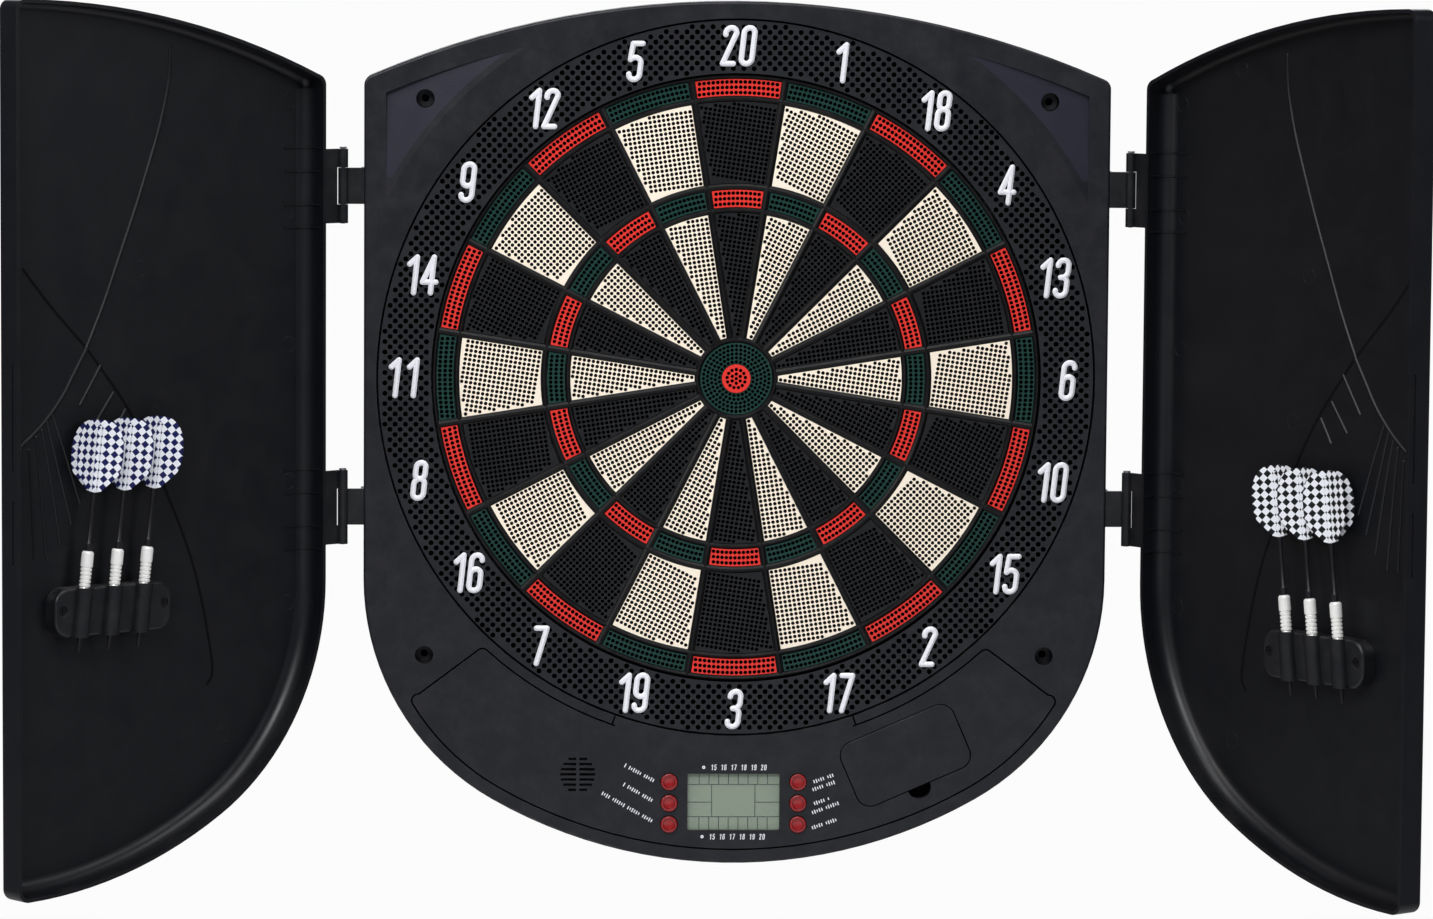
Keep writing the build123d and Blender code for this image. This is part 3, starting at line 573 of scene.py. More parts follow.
def make_bull_tree():
    make, given, out = new_group(
        "bull_key",
        {
            "Outer radius": 23.4, "Bore": True, "Bore radius": 9.7, "Rings": 5, "First ring": 11.0,
            "Ring pitch": 2.6, "Hole pitch": 2.8, "Hole radius": 1.15, "Hole sides": 8, **BLOCK_LEVELS,
            "Finish": "Material",
        },
        {"Key": "Geometry"},
        GEOMETRY,
    )
    most_in_ring = 60.0
    index = make("GeometryNodeInputIndex")
    ring_number = ((index + 0.5) / most_in_ring).do("FLOOR")
    hole_number = index % most_in_ring
    radius = ring_number * given["Ring pitch"] + given["First ring"]
    in_ring = (radius * math.tau / given["Hole pitch"]).do("ROUND").do("MAXIMUM", 1.0)
    angle = hole_number / in_ring * math.tau
    place = make.combine(X=radius * angle.do("SINE"), Y=radius * angle.do("COSINE"))
    points = make("GeometryNodePoints", {"Count": given["Rings"] * most_in_ring, "Position": place})
    past_last = {0: hole_number, 1: in_ring - 0.5}
    spare = make("FunctionNodeCompare", past_last, data_type="FLOAT", operation="GREATER_THAN")
    kept = make("GeometryNodeDeleteGeometry", {0: points, "Selection": spare}, domain="POINT")

    def circle(sides, size):
        return make("GeometryNodeCurvePrimitiveCircle", {"Resolution": sides, "Radius": size})

    holes = make.copies(kept, circle(given["Hole sides"], given["Hole radius"]))
    bored = make("GeometryNodeSwitch", {"Switch": given["Bore"], "True": circle(64, given["Bore radius"])})
    outline = make.join(circle(96, given["Outer radius"]), bored)
    stand_up(make, drill(make, given, outline, holes), given["Finish"], out["Key"])
    return make.tree


bull_tree = make_bull_tree()
outer_bull = grow(bull_tree, "outer_bull_key", {"Finish": green_plastic})
centre_sizes = {
    "Outer radius": 9.3, "Bore": False, "Rings": 3, "First ring": 0.0, "Ring pitch": 3.0, "Hole pitch": 2.95,
    "Hole radius": 1.2, "Finish": red_plastic,
}
inner_bull = grow(bull_tree, "inner_bull_key", centre_sizes)
for key, node_name, slot_name in (
    (outer_bull, "outer_bull", "segment_green"), (inner_bull, "inner_bull", "segment_red")
):
    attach(key, node_name)
    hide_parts(node_name)

# --------------------------------------------------------------- catch ring
# Four black quarters make the ring that catches stray darts. It is drilled
# wider than the keys, slantwise to the seams, and the numbers stand on it.
ring_plastic = moulded(
    "ring_plastic", paint(22, 23, 28), 0.42, 1300.0, 0.2, wear_and_highlight=0.35, dust=0.15, reach=0.0004, face=RING_FACE
)
catch_sizes = {
    "Sector": 90.0, "Side gap": 0.125, "Inner radius": 198.6, "Outer radius": 232.6, "Outline points": 120,
    "First row": -196.3, "Row pitch": 4.75, "Column pitch": 4.75, "Side land": 2.3, "Rows": 50, "Columns": 50,
    "Hole radius": 1.72, "Hole sides": 10, "Land": 0.3, "Face": 32.5, "Hole floor": 26.0, "Back": 24.0,
    "Keys": 4, "Key step": 90.0, "Finish": ring_plastic,
}
catch_ring = grow(key_tree, "drilled_catch_ring", catch_sizes)
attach(catch_ring, "cabinet")
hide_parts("catch_ring")

# ------------------------------------------------------------------- spider
# The spider is one black moulding: rings and spokes with a roof-shaped top
# and a narrow ridge that turns darts into the keys. Its bright ridge lines are
# partly wear and partly a painted highlight.
RIDGE_SIZES = {"Half width": 2.0, "Ridge": 0.35}


def make_ridge_group():
    """Section of a web bar: straight sides up to the shoulder, then a roof to a narrow ridge."""
    sockets = {**RIDGE_SIZES, "Base": 21.0, "Shoulder": 28.3, "Top": 29.5}
    make, given, out = new_group("ridge_section", sockets, {"Section": "Geometry"}, GEOMETRY)
    offset = make("GeometryNodeInputIndex") - 2.5
    away = abs(offset)
    at_base, below_ridge = away > 2.0, away > 1.0
    width = (given["Half width"] - given["Ridge"]) * below_ridge + given["Ridge"]
    roof = (given["Shoulder"] - given["Top"]) * below_ridge + given["Top"]
    height = (given["Base"] - given["Shoulder"]) * at_base + roof
    place = make.combine(X=width * offset.do("SIGN"), Y=height * -1.0)
    make.closed_line(6, place).into(out["Section"])
    return make.tree


ridge_group = make_ridge_group()


def make_web_tree(spokes):
    """A ring of the web, or all its spokes."""
    sockets = {
        **RIDGE_SIZES, "Radius": 109.8, "Inner end": 26.4, "Outer end": 195.6, "Spokes": 20, "Finish": "Material",
    }
    name = "web_spokes" if spokes else "web_ring"
    make, given, out = new_group(name, sockets, {"Web": "Geometry"}, GEOMETRY)
    widths = {socket: given[socket] for socket in RIDGE_SIZES}
    section = make("GeometryNodeGroup", widths, node_tree=ridge_group)
    if spokes:
        ends = {"Start": make.combine(Y=given["Inner end"]), "End": make.combine(Y=given["Outer end"])}
        path = make("GeometryNodeCurvePrimitiveLine", ends)
    else:
        path = make("GeometryNodeCurvePrimitiveCircle", {"Resolution": 180, "Radius": given["Radius"]})
    swept = {"Curve": path, "Profile Curve": section, "Fill Caps": True}
    geometry = make("GeometryNodeCurveToMesh", swept)
    if spokes:
        turn = (make("GeometryNodeInputIndex") + 0.5) * -math.tau / given["Spokes"]
        spots = make("GeometryNodePoints", {"Count": given["Spokes"]})
        geometry = make.copies(spots, geometry, Rotation=make.combine(Z=turn))
    stand_up(make, geometry, given["Finish"], out["Web"])
    return make.tree


def merge_pieces(name, pieces, material, smooth_angle=0.6):
    """Weld several grown meshes into one piece with every face turned outwards."""
    joined = bmesh.new()
    for piece in pieces:
        joined.from_mesh(piece.data)
        bpy.data.objects.remove(piece)
    bmesh.ops.remove_doubles(joined, verts=joined.verts, dist=1e-6)
    for face in joined.faces:
        face.material_index = 0
    return finish_build(joined, name, material, smooth_angle)


def finish_build(build, name, material, smooth_angle=0.5):
    """Turn a build of closed shells into a finished object."""
    bmesh.ops.recalc_face_normals(build, faces=build.faces)
    mesh = bpy.data.meshes.new(name)
    build.to_mesh(mesh)
    build.free()
    mesh.materials.append(material)
    mesh.shade_smooth()
    mesh.set_sharp_from_angle(angle=smooth_angle)
    piece = bpy.data.objects.new(name, mesh)
    scene.collection.objects.link(piece)
    return piece


# strong edge lightening: the light lines along the ridges are wear and a painted highlight
spider_plastic = moulded(
    "spider_plastic", paint(9, 9, 11), 0.36, 1500.0, 0.15, wear_and_highlight=0.8, dust=0.08, gloss=0.2, reach=0.0005
)
web_parts = [grow(make_web_tree(True), "spokes", {"Finish": spider_plastic})]
ring_tree = make_web_tree(False)
for low, high in ((23.9, 26.9), (108.3, 111.4), (123.3, 127.0), (180.4, 183.6), (195.1, 198.2)):
    ring_sizes = {"Radius": (low + high) / 2, "Half width": (high - low) / 2, "Finish": spider_plastic}
    web_parts.append(grow(ring_tree, "web_ring", ring_sizes))
spider = merge_pieces("spider_web", web_parts, spider_plastic)
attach(spider, "cabinet")
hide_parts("spider")

# ----------------------------------------------------------------- numerals
# Twenty upright numbers moulded separately in plastic, plated a bright satin
# silver and pressed onto the catch ring. Their edges are bevelled all round.
DIGIT_LEAN = 0.11
NUMBER_ROUND, NUMBER_ADVANCE = 216.3, 11.8


def arc(start, through, end, steps=12):
    """Points along the arc through three points."""
    (ax, ay), (bx, by), (cx, cy) = start, through, end
    d = 2 * (ax * (by - cy) + bx * (cy - ay) + cx * (ay - by))
    ux = ((ax * ax + ay * ay) * (by - cy) + (bx * bx + by * by) * (cy - ay) + (cx * cx + cy * cy) * (ay - by)) / d
    uy = ((ax * ax + ay * ay) * (cx - bx) + (bx * bx + by * by) * (ax - cx) + (cx * cx + cy * cy) * (bx - ax)) / d
    first, mid, last = (math.atan2(y - uy, x - ux) for x, y in (start, through, end))
    radius = math.hypot(ax - ux, ay - uy)
    clockwise = (mid - first) % math.tau > (last - first) % math.tau
    sweep = (last - first) % math.tau - (math.tau if clockwise else 0.0)
    return [
        (ux + radius * math.cos(first + sweep * i / steps), uy + radius * math.sin(first + sweep * i / steps))
        for i in range(steps + 1)
    ]


def bow(half, level, peak):
    """Arc from one side to the other over a peak in the middle."""
    return arc((-half, level), (0, peak), (half, level))


def digit_lines(digit, a=3.45, c=11.6, m=0.4):
    """Centre lines of one condensed digit, centred on the origin: half width a, half height c, waist m."""
    foot = bow(-a, a - c, -c)
    if digit == "0":
        return [bow(a, c - a, c) + foot + [(-a, c - a)]]
    if digit == "1":
        return [[(a * 0.5, -c), (a * 0.5, c)], [(a * 0.5, c), (-a * 0.8, c - 4.6)]]
    if digit == "2":
        return [arc((-a, c - a - 1), (0, c), (a, c - a)), [(a, c - a), (-a, -c)], [(-a, -c), (a, -c)]]
    if digit == "3":
        return [
            bow(a, c - a, c) + arc((a, m + a), (a * 0.7, m + 1.1), (-a * 0.3, m)),
            arc((-a * 0.3, m), (a * 0.7, m - 1.1), (a, m - a)) + foot,
        ]
    if digit == "4":
        bar = -c * 0.4
        return [[(a * 0.6, -c), (a * 0.6, c)], [(a * 0.6, c), (-a * 1.1, bar)], [(-a * 1.1, bar), (a * 1.4, bar)]]
    if digit == "5":
        belly = arc((-a, 1.2), (0, 2.6), (a, 1.4 - a))
        return [[(a, c), (-a * 0.8, c)], [(-a * 0.8, c), (-a, 1.2)], belly + foot]
    if digit == "7":
        return [[(-a, c), (a, c)], [(a, c), (-a * 0.3, -c)]]
    if digit == "8":
        w = a * 0.9
        return [
            bow(w, c - a, c) + bow(-w, 1 + a, 1) + [(-w, c - a)],
            bow(a, 1 - a, 1) + foot + [(-a, 1 - a)],
        ]
    # a 9 is a 6 turned round
    s = 1 if digit == "6" else -1
    loop = bow(-s * a, s * (m - a + 2), s * (m + 2))
    return [bow(-s * a, s * (c - a), s * c) + bow(s * a, s * (a - c), -s * c) + loop]


def digit_strokes(digit):
    """The same digit leaning a little to the right."""
    return [[(x + DIGIT_LEAN * y, y) for x, y in line] for line in digit_lines(digit)]


def tidy_line(line):
    """Drop points that repeat."""
    kept = [line[0]]
    for point in line[1:]:
        if math.dist(point, kept[-1]) > 0.02:
            kept.append(point)
    return kept


def raise_stroke(build, line, half, crown, low, shoulder, high, put):
    """One bevelled bar along a line, with rounded ends. put() takes (along x, along y, height)."""
    line = tidy_line(line)
    closed = math.dist(line[0], line[-1]) < 0.05
    if closed:
        line = line[:-1]
    section = [(-half, low), (-half, shoulder), (-crown, high), (crown, high), (half, shoulder), (half, low)]
    rings = []
    for i, (x, y) in enumerate(line):
        before = line[i - 1] if i or closed else None
        after = line[(i + 1) % len(line)] if i + 1 < len(line) or closed else None
        ways = []
        for p, q in ((before, (x, y)), ((x, y), after)):
            if p is not None and q is not None:
                length = math.dist(p, q)
                ways.append(((q[0] - p[0]) / length, (q[1] - p[1]) / length))
        way_x, way_y = sum(w[0] for w in ways), sum(w[1] for w in ways)
        length = math.hypot(way_x, way_y) or 1.0
        way_x, way_y = way_x / length, way_y / length
        stretch = 1.0 / max(0.5, way_x * ways[0][0] + way_y * ways[0][1])
        settle = 0.02 * i / len(line) if high - low > 1.0 else 0.0
        rings.append(
            [build.verts.new(put(x - way_y * w * stretch, y + way_x * w * stretch, h - settle)) for w, h in section]
        )
    count = len(section)
    for i in range(len(rings) if closed else len(rings) - 1):
        first, second = rings[i], rings[(i + 1) % len(rings)]
        for k in range(count):
            build.faces.new((first[k], first[(k + 1) % count], second[(k + 1) % count], second[k]))
    if closed:
        return
    build.faces.new(rings[0])
    build.faces.new(list(reversed(rings[-1])))
    for x, y in (line[0], line[-1]):
        around = [(math.cos(math.tau * k / 16), math.sin(math.tau * k / 16)) for k in range(16)]
        levels = [
            [build.verts.new(put(x + r * u, y + r * v, h)) for u, v in around] for r,
            h in ((half, low), (half, shoulder), (crown, high - 0.005))
        ]
        for below, above in zip(levels, levels[1:]):
            for k in range(16):
                build.faces.new((below[k], below[(k + 1) % 16], above[(k + 1) % 16], above[k]))
        build.faces.new(levels[-1])
        build.faces.new(list(reversed(levels[0])))


def on_face(x, z, out):
    """Point on the front of the board, from millimetres."""
    return Vector((x, -out, z)) * 0.001


silver_plate = moulded(
    "silver_plate", paint(247, 247, 252), 0.26, 1800.0, 0.06, 0.06, 0.0, 0.03, gloss=0.7, metal=0.12
)
ROUND_THE_BOARD = (20, 1, 18, 4, 13, 6, 10, 15, 2, 17, 3, 19, 7, 16, 8, 11, 14, 9, 12, 5)
build = bmesh.new()
for index, number in enumerate(ROUND_THE_BOARD):
    turn = math.radians(18 * index)
    centre_x, centre_z = NUMBER_ROUND * math.sin(turn), NUMBER_ROUND * math.cos(turn)
    text = str(number)
    for order, digit in enumerate(text):
        shift = (order - (len(text) - 1) / 2) * NUMBER_ADVANCE
        if text != "11" and digit == "1" and len(text) == 2:
            shift += 1.2  # a narrow 1 stands closer to its neighbour
        for layer, stroke in enumerate(digit_strokes(digit)):
            raise_stroke(
                build, stroke, 1.75, 0.6, 32.45, 32.9, 33.95 + 0.012 * layer,
                lambda u, v, h: on_face(centre_x + shift + u, centre_z + v, h),
            )
numerals = finish_build(build, "raised_numerals", silver_plate, 0.35)
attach(numerals, "cabinet")
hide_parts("numerals")

# ------------------------------------------------------------------ display
# A grey-green liquid-crystal panel under a clear polished window. Its thin
# dark lines part it into cells: a row above, a row below, boxes between.
panel_glass = moulded(
    "panel_glass", paint(126, 141, 120), 0.5, grain=700.0, relief=0.0, mottle=0.08, wear_and_highlight=0.0, dust=0.0
)
coat("lcd_module", moulded("panel_frame", paint(120, 132, 114), 0.4, wear_and_highlight=0.0))
DISPLAY_X, DISPLAY_Z = 0.0, -277.5


def put_block(build, x0, x1, z0, z1, low, high, put=on_face):
    corners = [
        build.verts.new(put(x, z, h)) for h in (low, high) for x, z in ((x0, z0), (x1, z0), (x1, z1), (x0, z1))
    ]
    for face in ((0, 1, 2, 3), (4, 5, 6, 7), (0, 1, 5, 4), (1, 2, 6, 5), (2, 3, 7, 6), (3, 0, 4, 7)):
        build.faces.new([corners[i] for i in face])


build = bmesh.new()
put_block(build, -31.6, 31.6, DISPLAY_Z - 20.6, DISPLAY_Z + 20.6, 29.55, 30.4)
display_panel = finish_build(build, "display_panel", panel_glass)
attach(display_panel, "cabinet")

cell_ink = moulded("cell_ink", paint(52, 66, 54), 0.5, relief=0.0, wear_and_highlight=0.0, dust=0.0)
INK_BASE, INK_TOP = 30.4, 30.5
build = bmesh.new()
LINE = 0.34
view_w, view_top, view_low = 30.2, DISPLAY_Z + 18.7, DISPLAY_Z - 18.7
upper_row, lower_row, middle_row = view_top - 7.6, view_low + 8.5, DISPLAY_Z - 0.6
box_half = 14.2
for level_z in (upper_row, lower_row):
    put_block(build, -view_w, view_w, level_z - LINE, level_z + LINE, INK_BASE, INK_TOP)
for side in (-1, 1):
    put_block(build, side * box_half - LINE, side * box_half + LINE, lower_row, upper_row, INK_BASE, INK_TOP + 0.02)
    ends = sorted((side * box_half, side * view_w))
    put_block(build, ends[0], ends[1], middle_row - LINE, middle_row + LINE, INK_BASE, INK_TOP + 0.01)
for step in range(8):
    x = -22.4 + 6.4 * step
    for low_z, high_z in ((upper_row, view_top), (view_low, lower_row)):
        put_block(build, x - LINE, x + LINE, low_z, high_z, INK_BASE, INK_TOP + 0.02)
cell_lines = finish_build(build, "display_cell_lines", cell_ink)
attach(cell_lines, "cabinet")

clear_window, pane, pane_surface = new_material("clear_window")
pane_surface["Base Color"].default_value = (0.75, 0.8, 0.76, 1.0)
pane_surface["Alpha"].default_value = 0.05
(pane.noise(pane.place(), 90.0, 4.0) * 0.10 + 0.03).into(pane_surface["Roughness"])
coat("lcd_window", clear_window)

# ----------------------------------------------------------- console legend
# White marks printed on the console: small cricket numbers above and below
# the display, and rows of plain slanted ticks where the key captions would stand.
legend_ink = moulded(
    "legend_ink", paint(232, 234, 238), 0.5, grain=2500.0, relief=0.05, mottle=0.05, wear_and_highlight=0.0, dust=0.0
)
build = bmesh.new()
INK_LOW, INK_HIGH = 33.9, 34.03


def ink_line(line, half, crown, x=0.0, z=0.0):
    """A printed line; its points are given from (x, z)."""
    raise_stroke(
        build, line, half, crown, INK_LOW, INK_HIGH - 0.02, INK_HIGH, lambda u, v, h: on_face(x + u, z + v, h)
    )


for row_z, row_shift in ((-254.6, 0.0), (-300.4, -0.8)):
    for step, text in enumerate(("", "15", "16", "17", "18", "19", "20")):
        x = -19.6 + 6.55 * step + row_shift
        if not text:
            bull_mark = arc((-0.7, 0), (0, 0.7), (0.7, 0)) + arc((0.7, 0), (0, -0.7), (-0.7, 0))
            ink_line(bull_mark, 0.35, 0.25, x, row_z)
        for order, digit in enumerate(text):
            for stroke in digit_strokes(digit):
                small = [(u * 0.14, v * 0.14) for u, v in stroke]
                ink_line(small, 0.27, 0.2, x + (order - 0.5) * 2.1, row_z)

TICK_PITCH, TICK_HEIGHTS = 1.6, (1.1, 1.5, 0.8, 1.35)
TICK_ROWS = (
    (-1, -52.6, -263.3, 28.3, 22.8), (-1, -53.6, -276.4, 30.0, 23.7), (-1, -53.6, -289.9, 29.4, 39.0),
    (1, 52.8, -264.0, 19.5, 14.8), (1, 52.2, -269.2, 19.5, 16.6), (1, 53.2, -278.4, 19.5, 11.7),
    (1, 52.0, -284.4, 20.5, 21.5), (1, 52.0, -294.4, 19.0, 18.8),
)
for side, x, z, slope, length in TICK_ROWS:
    way = (side * math.cos(math.radians(slope)), math.sin(math.radians(slope)))
    for tick in range(int(length / TICK_PITCH)):
        if tick % 7 == 5:
            continue
        middle = (x + way[0] * (tick * TICK_PITCH), z + way[1] * (tick * TICK_PITCH))
        tall = TICK_HEIGHTS[tick % 4]
        ends = [(middle[0] - k * tall * way[1] * side, middle[1] + k * tall * way[0] * side) for k in (-0.7, 0.7)]
        ink_line(ends, 0.36, 0.3)
legend = finish_build(build, "console_legend", legend_ink)
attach(legend, "cabinet")

# ------------------------------------------------------------------ buttons
# Six round push keys in translucent red plastic, dished for the fingertip.
# Painted shade darkens a ring at the crease round the dish, and the rim towards its guide tube.
button_plastic = moulded(
    "button_plastic", paint(146, 12, 17), 0.28, grain=1800.0, relief=0.06, mottle=0.1, wear_and_highlight=0.2, dust=0.08,
    gloss=0.55
)
button, button_surface = Maker(button_plastic.node_tree), button_plastic.node_tree.nodes["Principled BSDF"].inputs
button_spot = button("ShaderNodeSeparateXYZ", {0: button.place()})
off_column = abs(button_spot["X"]) - 0.0422
off_row = (button_spot["Z"] + 0.2782).do("PINGPONG", 0.007)
from_middle = (off_column ** 2.0 + off_row ** 2.0).do("SQRT")
# painted shade at the rim, by the guide tube, and in a ring at the dish's crease
painted_rim_shade = from_middle.remap(0.0048, 0.0056, 1.0, 0.25)
painted_crease_shade = abs(from_middle - 0.0036).remap(0.0, 0.0007, 0.4, 1.0)
button_tone = button_surface["Base Color"].links[0].from_socket
button.scale(button_tone, painted_rim_shade * painted_crease_shade).into(button_surface["Base Color"])
for side_name in ("left", "right"):
    for number in (1, 2, 3):
        coat(f"{side_name}_button_{number}", button_plastic)

# ------------------------------------------------------------------ speaker
# A small round speaker behind six slots: pressed steel basket, treated paper
# cone. The ring moulded behind the face holds it.
coat("speaker", moulded("speaker_paper", paint(26, 26, 28), 0.75, grain=500.0, relief=0.5, wear_and_highlight=0.2))

# -------------------------------------------------- battery bay and its lid
# Three cells with printed sleeves lie in the bay behind a lift-off lid, which
# is moulded in the bezel's plastic with a half-moon notch for a fingernail.
coat("batteries", moulded("cell_sleeve", paint(38, 74, 132), 0.3, relief=0.03, wear_and_highlight=0.1))
coat("battery_contacts", zinc_steel)
coat("battery_cover", moulded("lid_plastic", *SATIN_BLACK))

# ------------------------------------------------------------------- hinges
# Moulded hinge leaves are welded to the cabinet sides and to the doors, and
# steel pins run through their knuckles.
hinge_plastic = moulded("hinge_plastic", paint(17, 18, 21), 0.34, grain=1400.0, relief=0.15, wear_and_highlight=0.4, dust=0.25)
for node_name in ("body_hinge_leaves", "left_door_hinges", "right_door_hinges"):
    coat(node_name, hinge_plastic)
coat("hinge_pins", zinc_steel)

# -------------------------------------------------------------------- doors
# Two deep door pans, each one moulding in black ABS, finely grained inside.
# Thin raised lines and round ejector marks decorate and mark the panel.
door_plastic = moulded(
    "door_plastic", paint(12, 13, 17), 0.36, grain=1200.0, relief=0.2, mottle=0.05, wear_and_highlight=0.3, dust=0.04
)
coat("left_door", door_plastic)
coat("right_door", door_plastic)

HINGE_X, HINGE_OUT, PANEL_OUT = 255.5, 34.0, 51.8


def opened(side, degrees):
    """How a door on this side stands when it is swung open."""
    axis = Vector((side * HINGE_X, -HINGE_OUT, 0.0))
    return Matrix.Translation(axis) @ Matrix.Rotation(math.radians(degrees), 4, "Z") @ Matrix.Translation(-axis)


DOOR_PLACE = {"left": opened(-1, -140.6), "right": opened(1, 126.3) @ Matrix.Scale(-1, 4, (1, 0, 0))}


def on_panel(side):
    """Maps (from the hinge line, height, standing off the panel) to the open door's inner face."""
    return lambda s, z, h: (DOOR_PLACE[side] @ Vector((s - HINGE_X, h - PANEL_OUT, z))) * 0.001


# each line: its points as (from the hinge line, height), its half width, its height off the panel
PANEL_LINES = (
    (
        ((124.7, 214.5), (125.5, 197), (128.7, 180), (134.5, 160), (142.5, 138), (152, 113), (164, 84), (176.5, 54),
         (190, 26)),
        1.1, 0.7,
    ),
    (((190, 25.4), (199.7, 10), (209.4, -5), (224, -21), (239.8, -33.5)), 1.2, 0.7),
    (((179.4, 14.2), (187.0, 2.5), (194.9, -9.5)), 1.0, 0.6),
    (((169.5, -3.2), (176.5, -12.6), (183.4, -22)), 1.0, 0.6),
    (((160.2, -14.4), (165.0, -22.0), (169.6, -29.7)), 1.0, 0.6),
    (((216, -14), (207, -38), (195, -72)), 0.8, 0.6),
    (((220, -19), (212, -48), (202, -84)), 0.8, 0.6),
    (((224, -24), (217, -58), (210.5, -96)), 0.8, 0.6),
    (((228.4, -28), (224.5, -65), (221, -105)), 0.8, 0.6),
    (((233.7, -36), (231.8, -68), (230.3, -105)), 0.8, 0.6),
)
# painted shadow: near-black strips laid on the panel where it shows dark groove lines
SHADOW_LINES = (
    ((238, 77), (225, 62), (213, 49), (190, 26)),
    ((190, 26), (175, 8), (160, -11), (143, -38), (129, -67), (118, -90), (108.5, -113), (101, -138), (95, -165),
     (92, -186), (96, -194)),
)
EJECTOR_MARKS = (
    (29.3, 180), (31.7, 108), (147.6, 75), (30, 22), (30, -67), (30.8, -146), (84, 204), (84, -228), (135, -18),
)
HINGE_HEIGHTS, RIB_RISES = (124.3, -84.2), (24.5, 9.3, -12.4, -27.0)
relief_plastic = moulded("relief_plastic", paint(14, 15, 19), 0.36, 1200.0, 0.1, 0.05, wear_and_highlight=0.0, dust=0.0)
shadow_line = moulded("shadow_line", (0.0012, 0.0012, 0.0014, 1.0), 0.6, relief=0.0, wear_and_highlight=0.0, dust=0.0, gloss=0.12)


def smooth_line(points, steps=6):
    """Round a line off into an even curve through its points."""
    ends = [points[0], *points, points[-1]]
    line = []
    for before, start, end, after in zip(ends, ends[1:], ends[2:], ends[3:]):
        for k in range(steps):
            f = k / steps
            line.append(tuple(
                0.5 * (2 * b + (c - a) * f + (2 * a - 5 * b + 4 * c - d) * f * f + (3 * b - a - 3 * c + d) * f ** 3)
                for a, b, c, d in zip(before, start, end, after)
            ))
    return line + [points[-1]]


WALL_S, COVE_R = 15.7, 9.0


def close_tube(build, rings):
    """Skin a row of rings and cap both ends."""
    for first, second in zip(rings, rings[1:]):
        for k in range(len(first)):
            after = (k + 1) % len(first)
            build.faces.new((first[k], first[after], second[after], second[k]))
    build.faces.new(rings[0])
    build.faces.new(list(reversed(rings[-1])))


def cove_strip(build, place):
    """Rounded inner corner between the panel and the wall, down the hinge side and round the belly."""
    wall_x, blend_x, blend_z, blend_r, belly_r = -239.8, -75.0, -131.06, 164.8, 315.8
    top_z = 187.0
    path = [(wall_x, top_z - 12.0 * k, 1.0, 0.0) for k in range(27) if top_z - 12.0 * k > blend_z]
    join = math.degrees(math.atan2(blend_z, blend_x)) % 360.0
    for k in range(17):
        turn = math.radians(180.0 + (join - 180.0) * k / 16)
        path.append(
            (blend_x + blend_r * math.cos(turn), blend_z + blend_r * math.sin(turn), -math.cos(turn), -math.sin(turn))
        )
    for k in range(1, 17):
        turn = math.radians(join + (269.2 - join) * k / 16)
        path.append((belly_r * math.cos(turn), belly_r * math.sin(turn), -math.cos(turn), -math.sin(turn)))
    turns = [math.radians(11.25 * k) for k in range(9)]
    section = [(COVE_R * (1 - math.sin(turn)), PANEL_OUT - COVE_R * (1 - math.cos(turn))) for turn in turns]
    section += [(-0.3, PANEL_OUT - COVE_R), (-0.3, PANEL_OUT + 0.3), (COVE_R, PANEL_OUT + 0.3)]
    rings = []
    for x, z, in_x, in_z in path:
        spots = [Vector((x + in_x * away, -out, z + in_z * away)) for away, out in section]
        rings.append([build.verts.new((place @ spot) * 0.001) for spot in spots])
    close_tube(build, rings)


def wall_rib(build, z, place):
    """Low rib that starts on the panel and runs round the cove and down the hinge-side wall."""
    path = [(34.0, PANEL_OUT, 0.0), (27.0, PANEL_OUT, 0.0)]
    for k in range(9):
        turn = math.radians(11.25 * k)
        path.append((WALL_S + COVE_R * (1 - math.sin(turn)), PANEL_OUT - COVE_R * (1 - math.cos(turn)), turn))
    path.append((WALL_S, 36.5, math.radians(90)))
    rings = []
    for s, out, turn in path:
        rings.append([])
        for across, rise in ((-0.9, -0.1), (-0.4, 0.8), (0.4, 0.8), (0.9, -0.1)):
            spot = Vector((s + rise * math.sin(turn) - HINGE_X, rise * math.cos(turn) - out, z + across))
            rings[-1].append(build.verts.new((place @ spot) * 0.001))
    close_tube(build, rings)


for side_name in ("left", "right"):
    put = on_panel(side_name)
    build = bmesh.new()
    for layer, (line, half, height) in enumerate(PANEL_LINES):
        height = height * 1.3 + 0.012 * layer
        raise_stroke(build, smooth_line(line), half * 1.15, half * 0.4, -0.1, height * 0.35, height, put)
    cove_strip(build, DOOR_PLACE[side_name])
    for mark_s, mark_z in EJECTOR_MARKS:
        circle = [
            (mark_s + 5 * math.cos(math.tau * k / 32), mark_z + 5 * math.sin(math.tau * k / 32))
            for k in range(33)
        ]
        raise_stroke(build, circle, 0.3, 0.15, -0.1, 0.08, 0.16, put)
    for hinge_z in HINGE_HEIGHTS:
        for rise in RIB_RISES:
            wall_rib(build, hinge_z + rise, DOOR_PLACE[side_name])
    relief = finish_build(build, f"{side_name}_door_relief", relief_plastic)
    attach(relief, f"{side_name}_door")
    # the painted shadow strips along the groove lines
    build = bmesh.new()
    for line in SHADOW_LINES:
        raise_stroke(build, smooth_line(line), 0.95, 0.85, -0.1, 0.12, 0.14, put)
    painted_shadow_strips = finish_build(build, f"{side_name}_door_shadow_lines", shadow_line)
    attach(painted_shadow_strips, f"{side_name}_door")

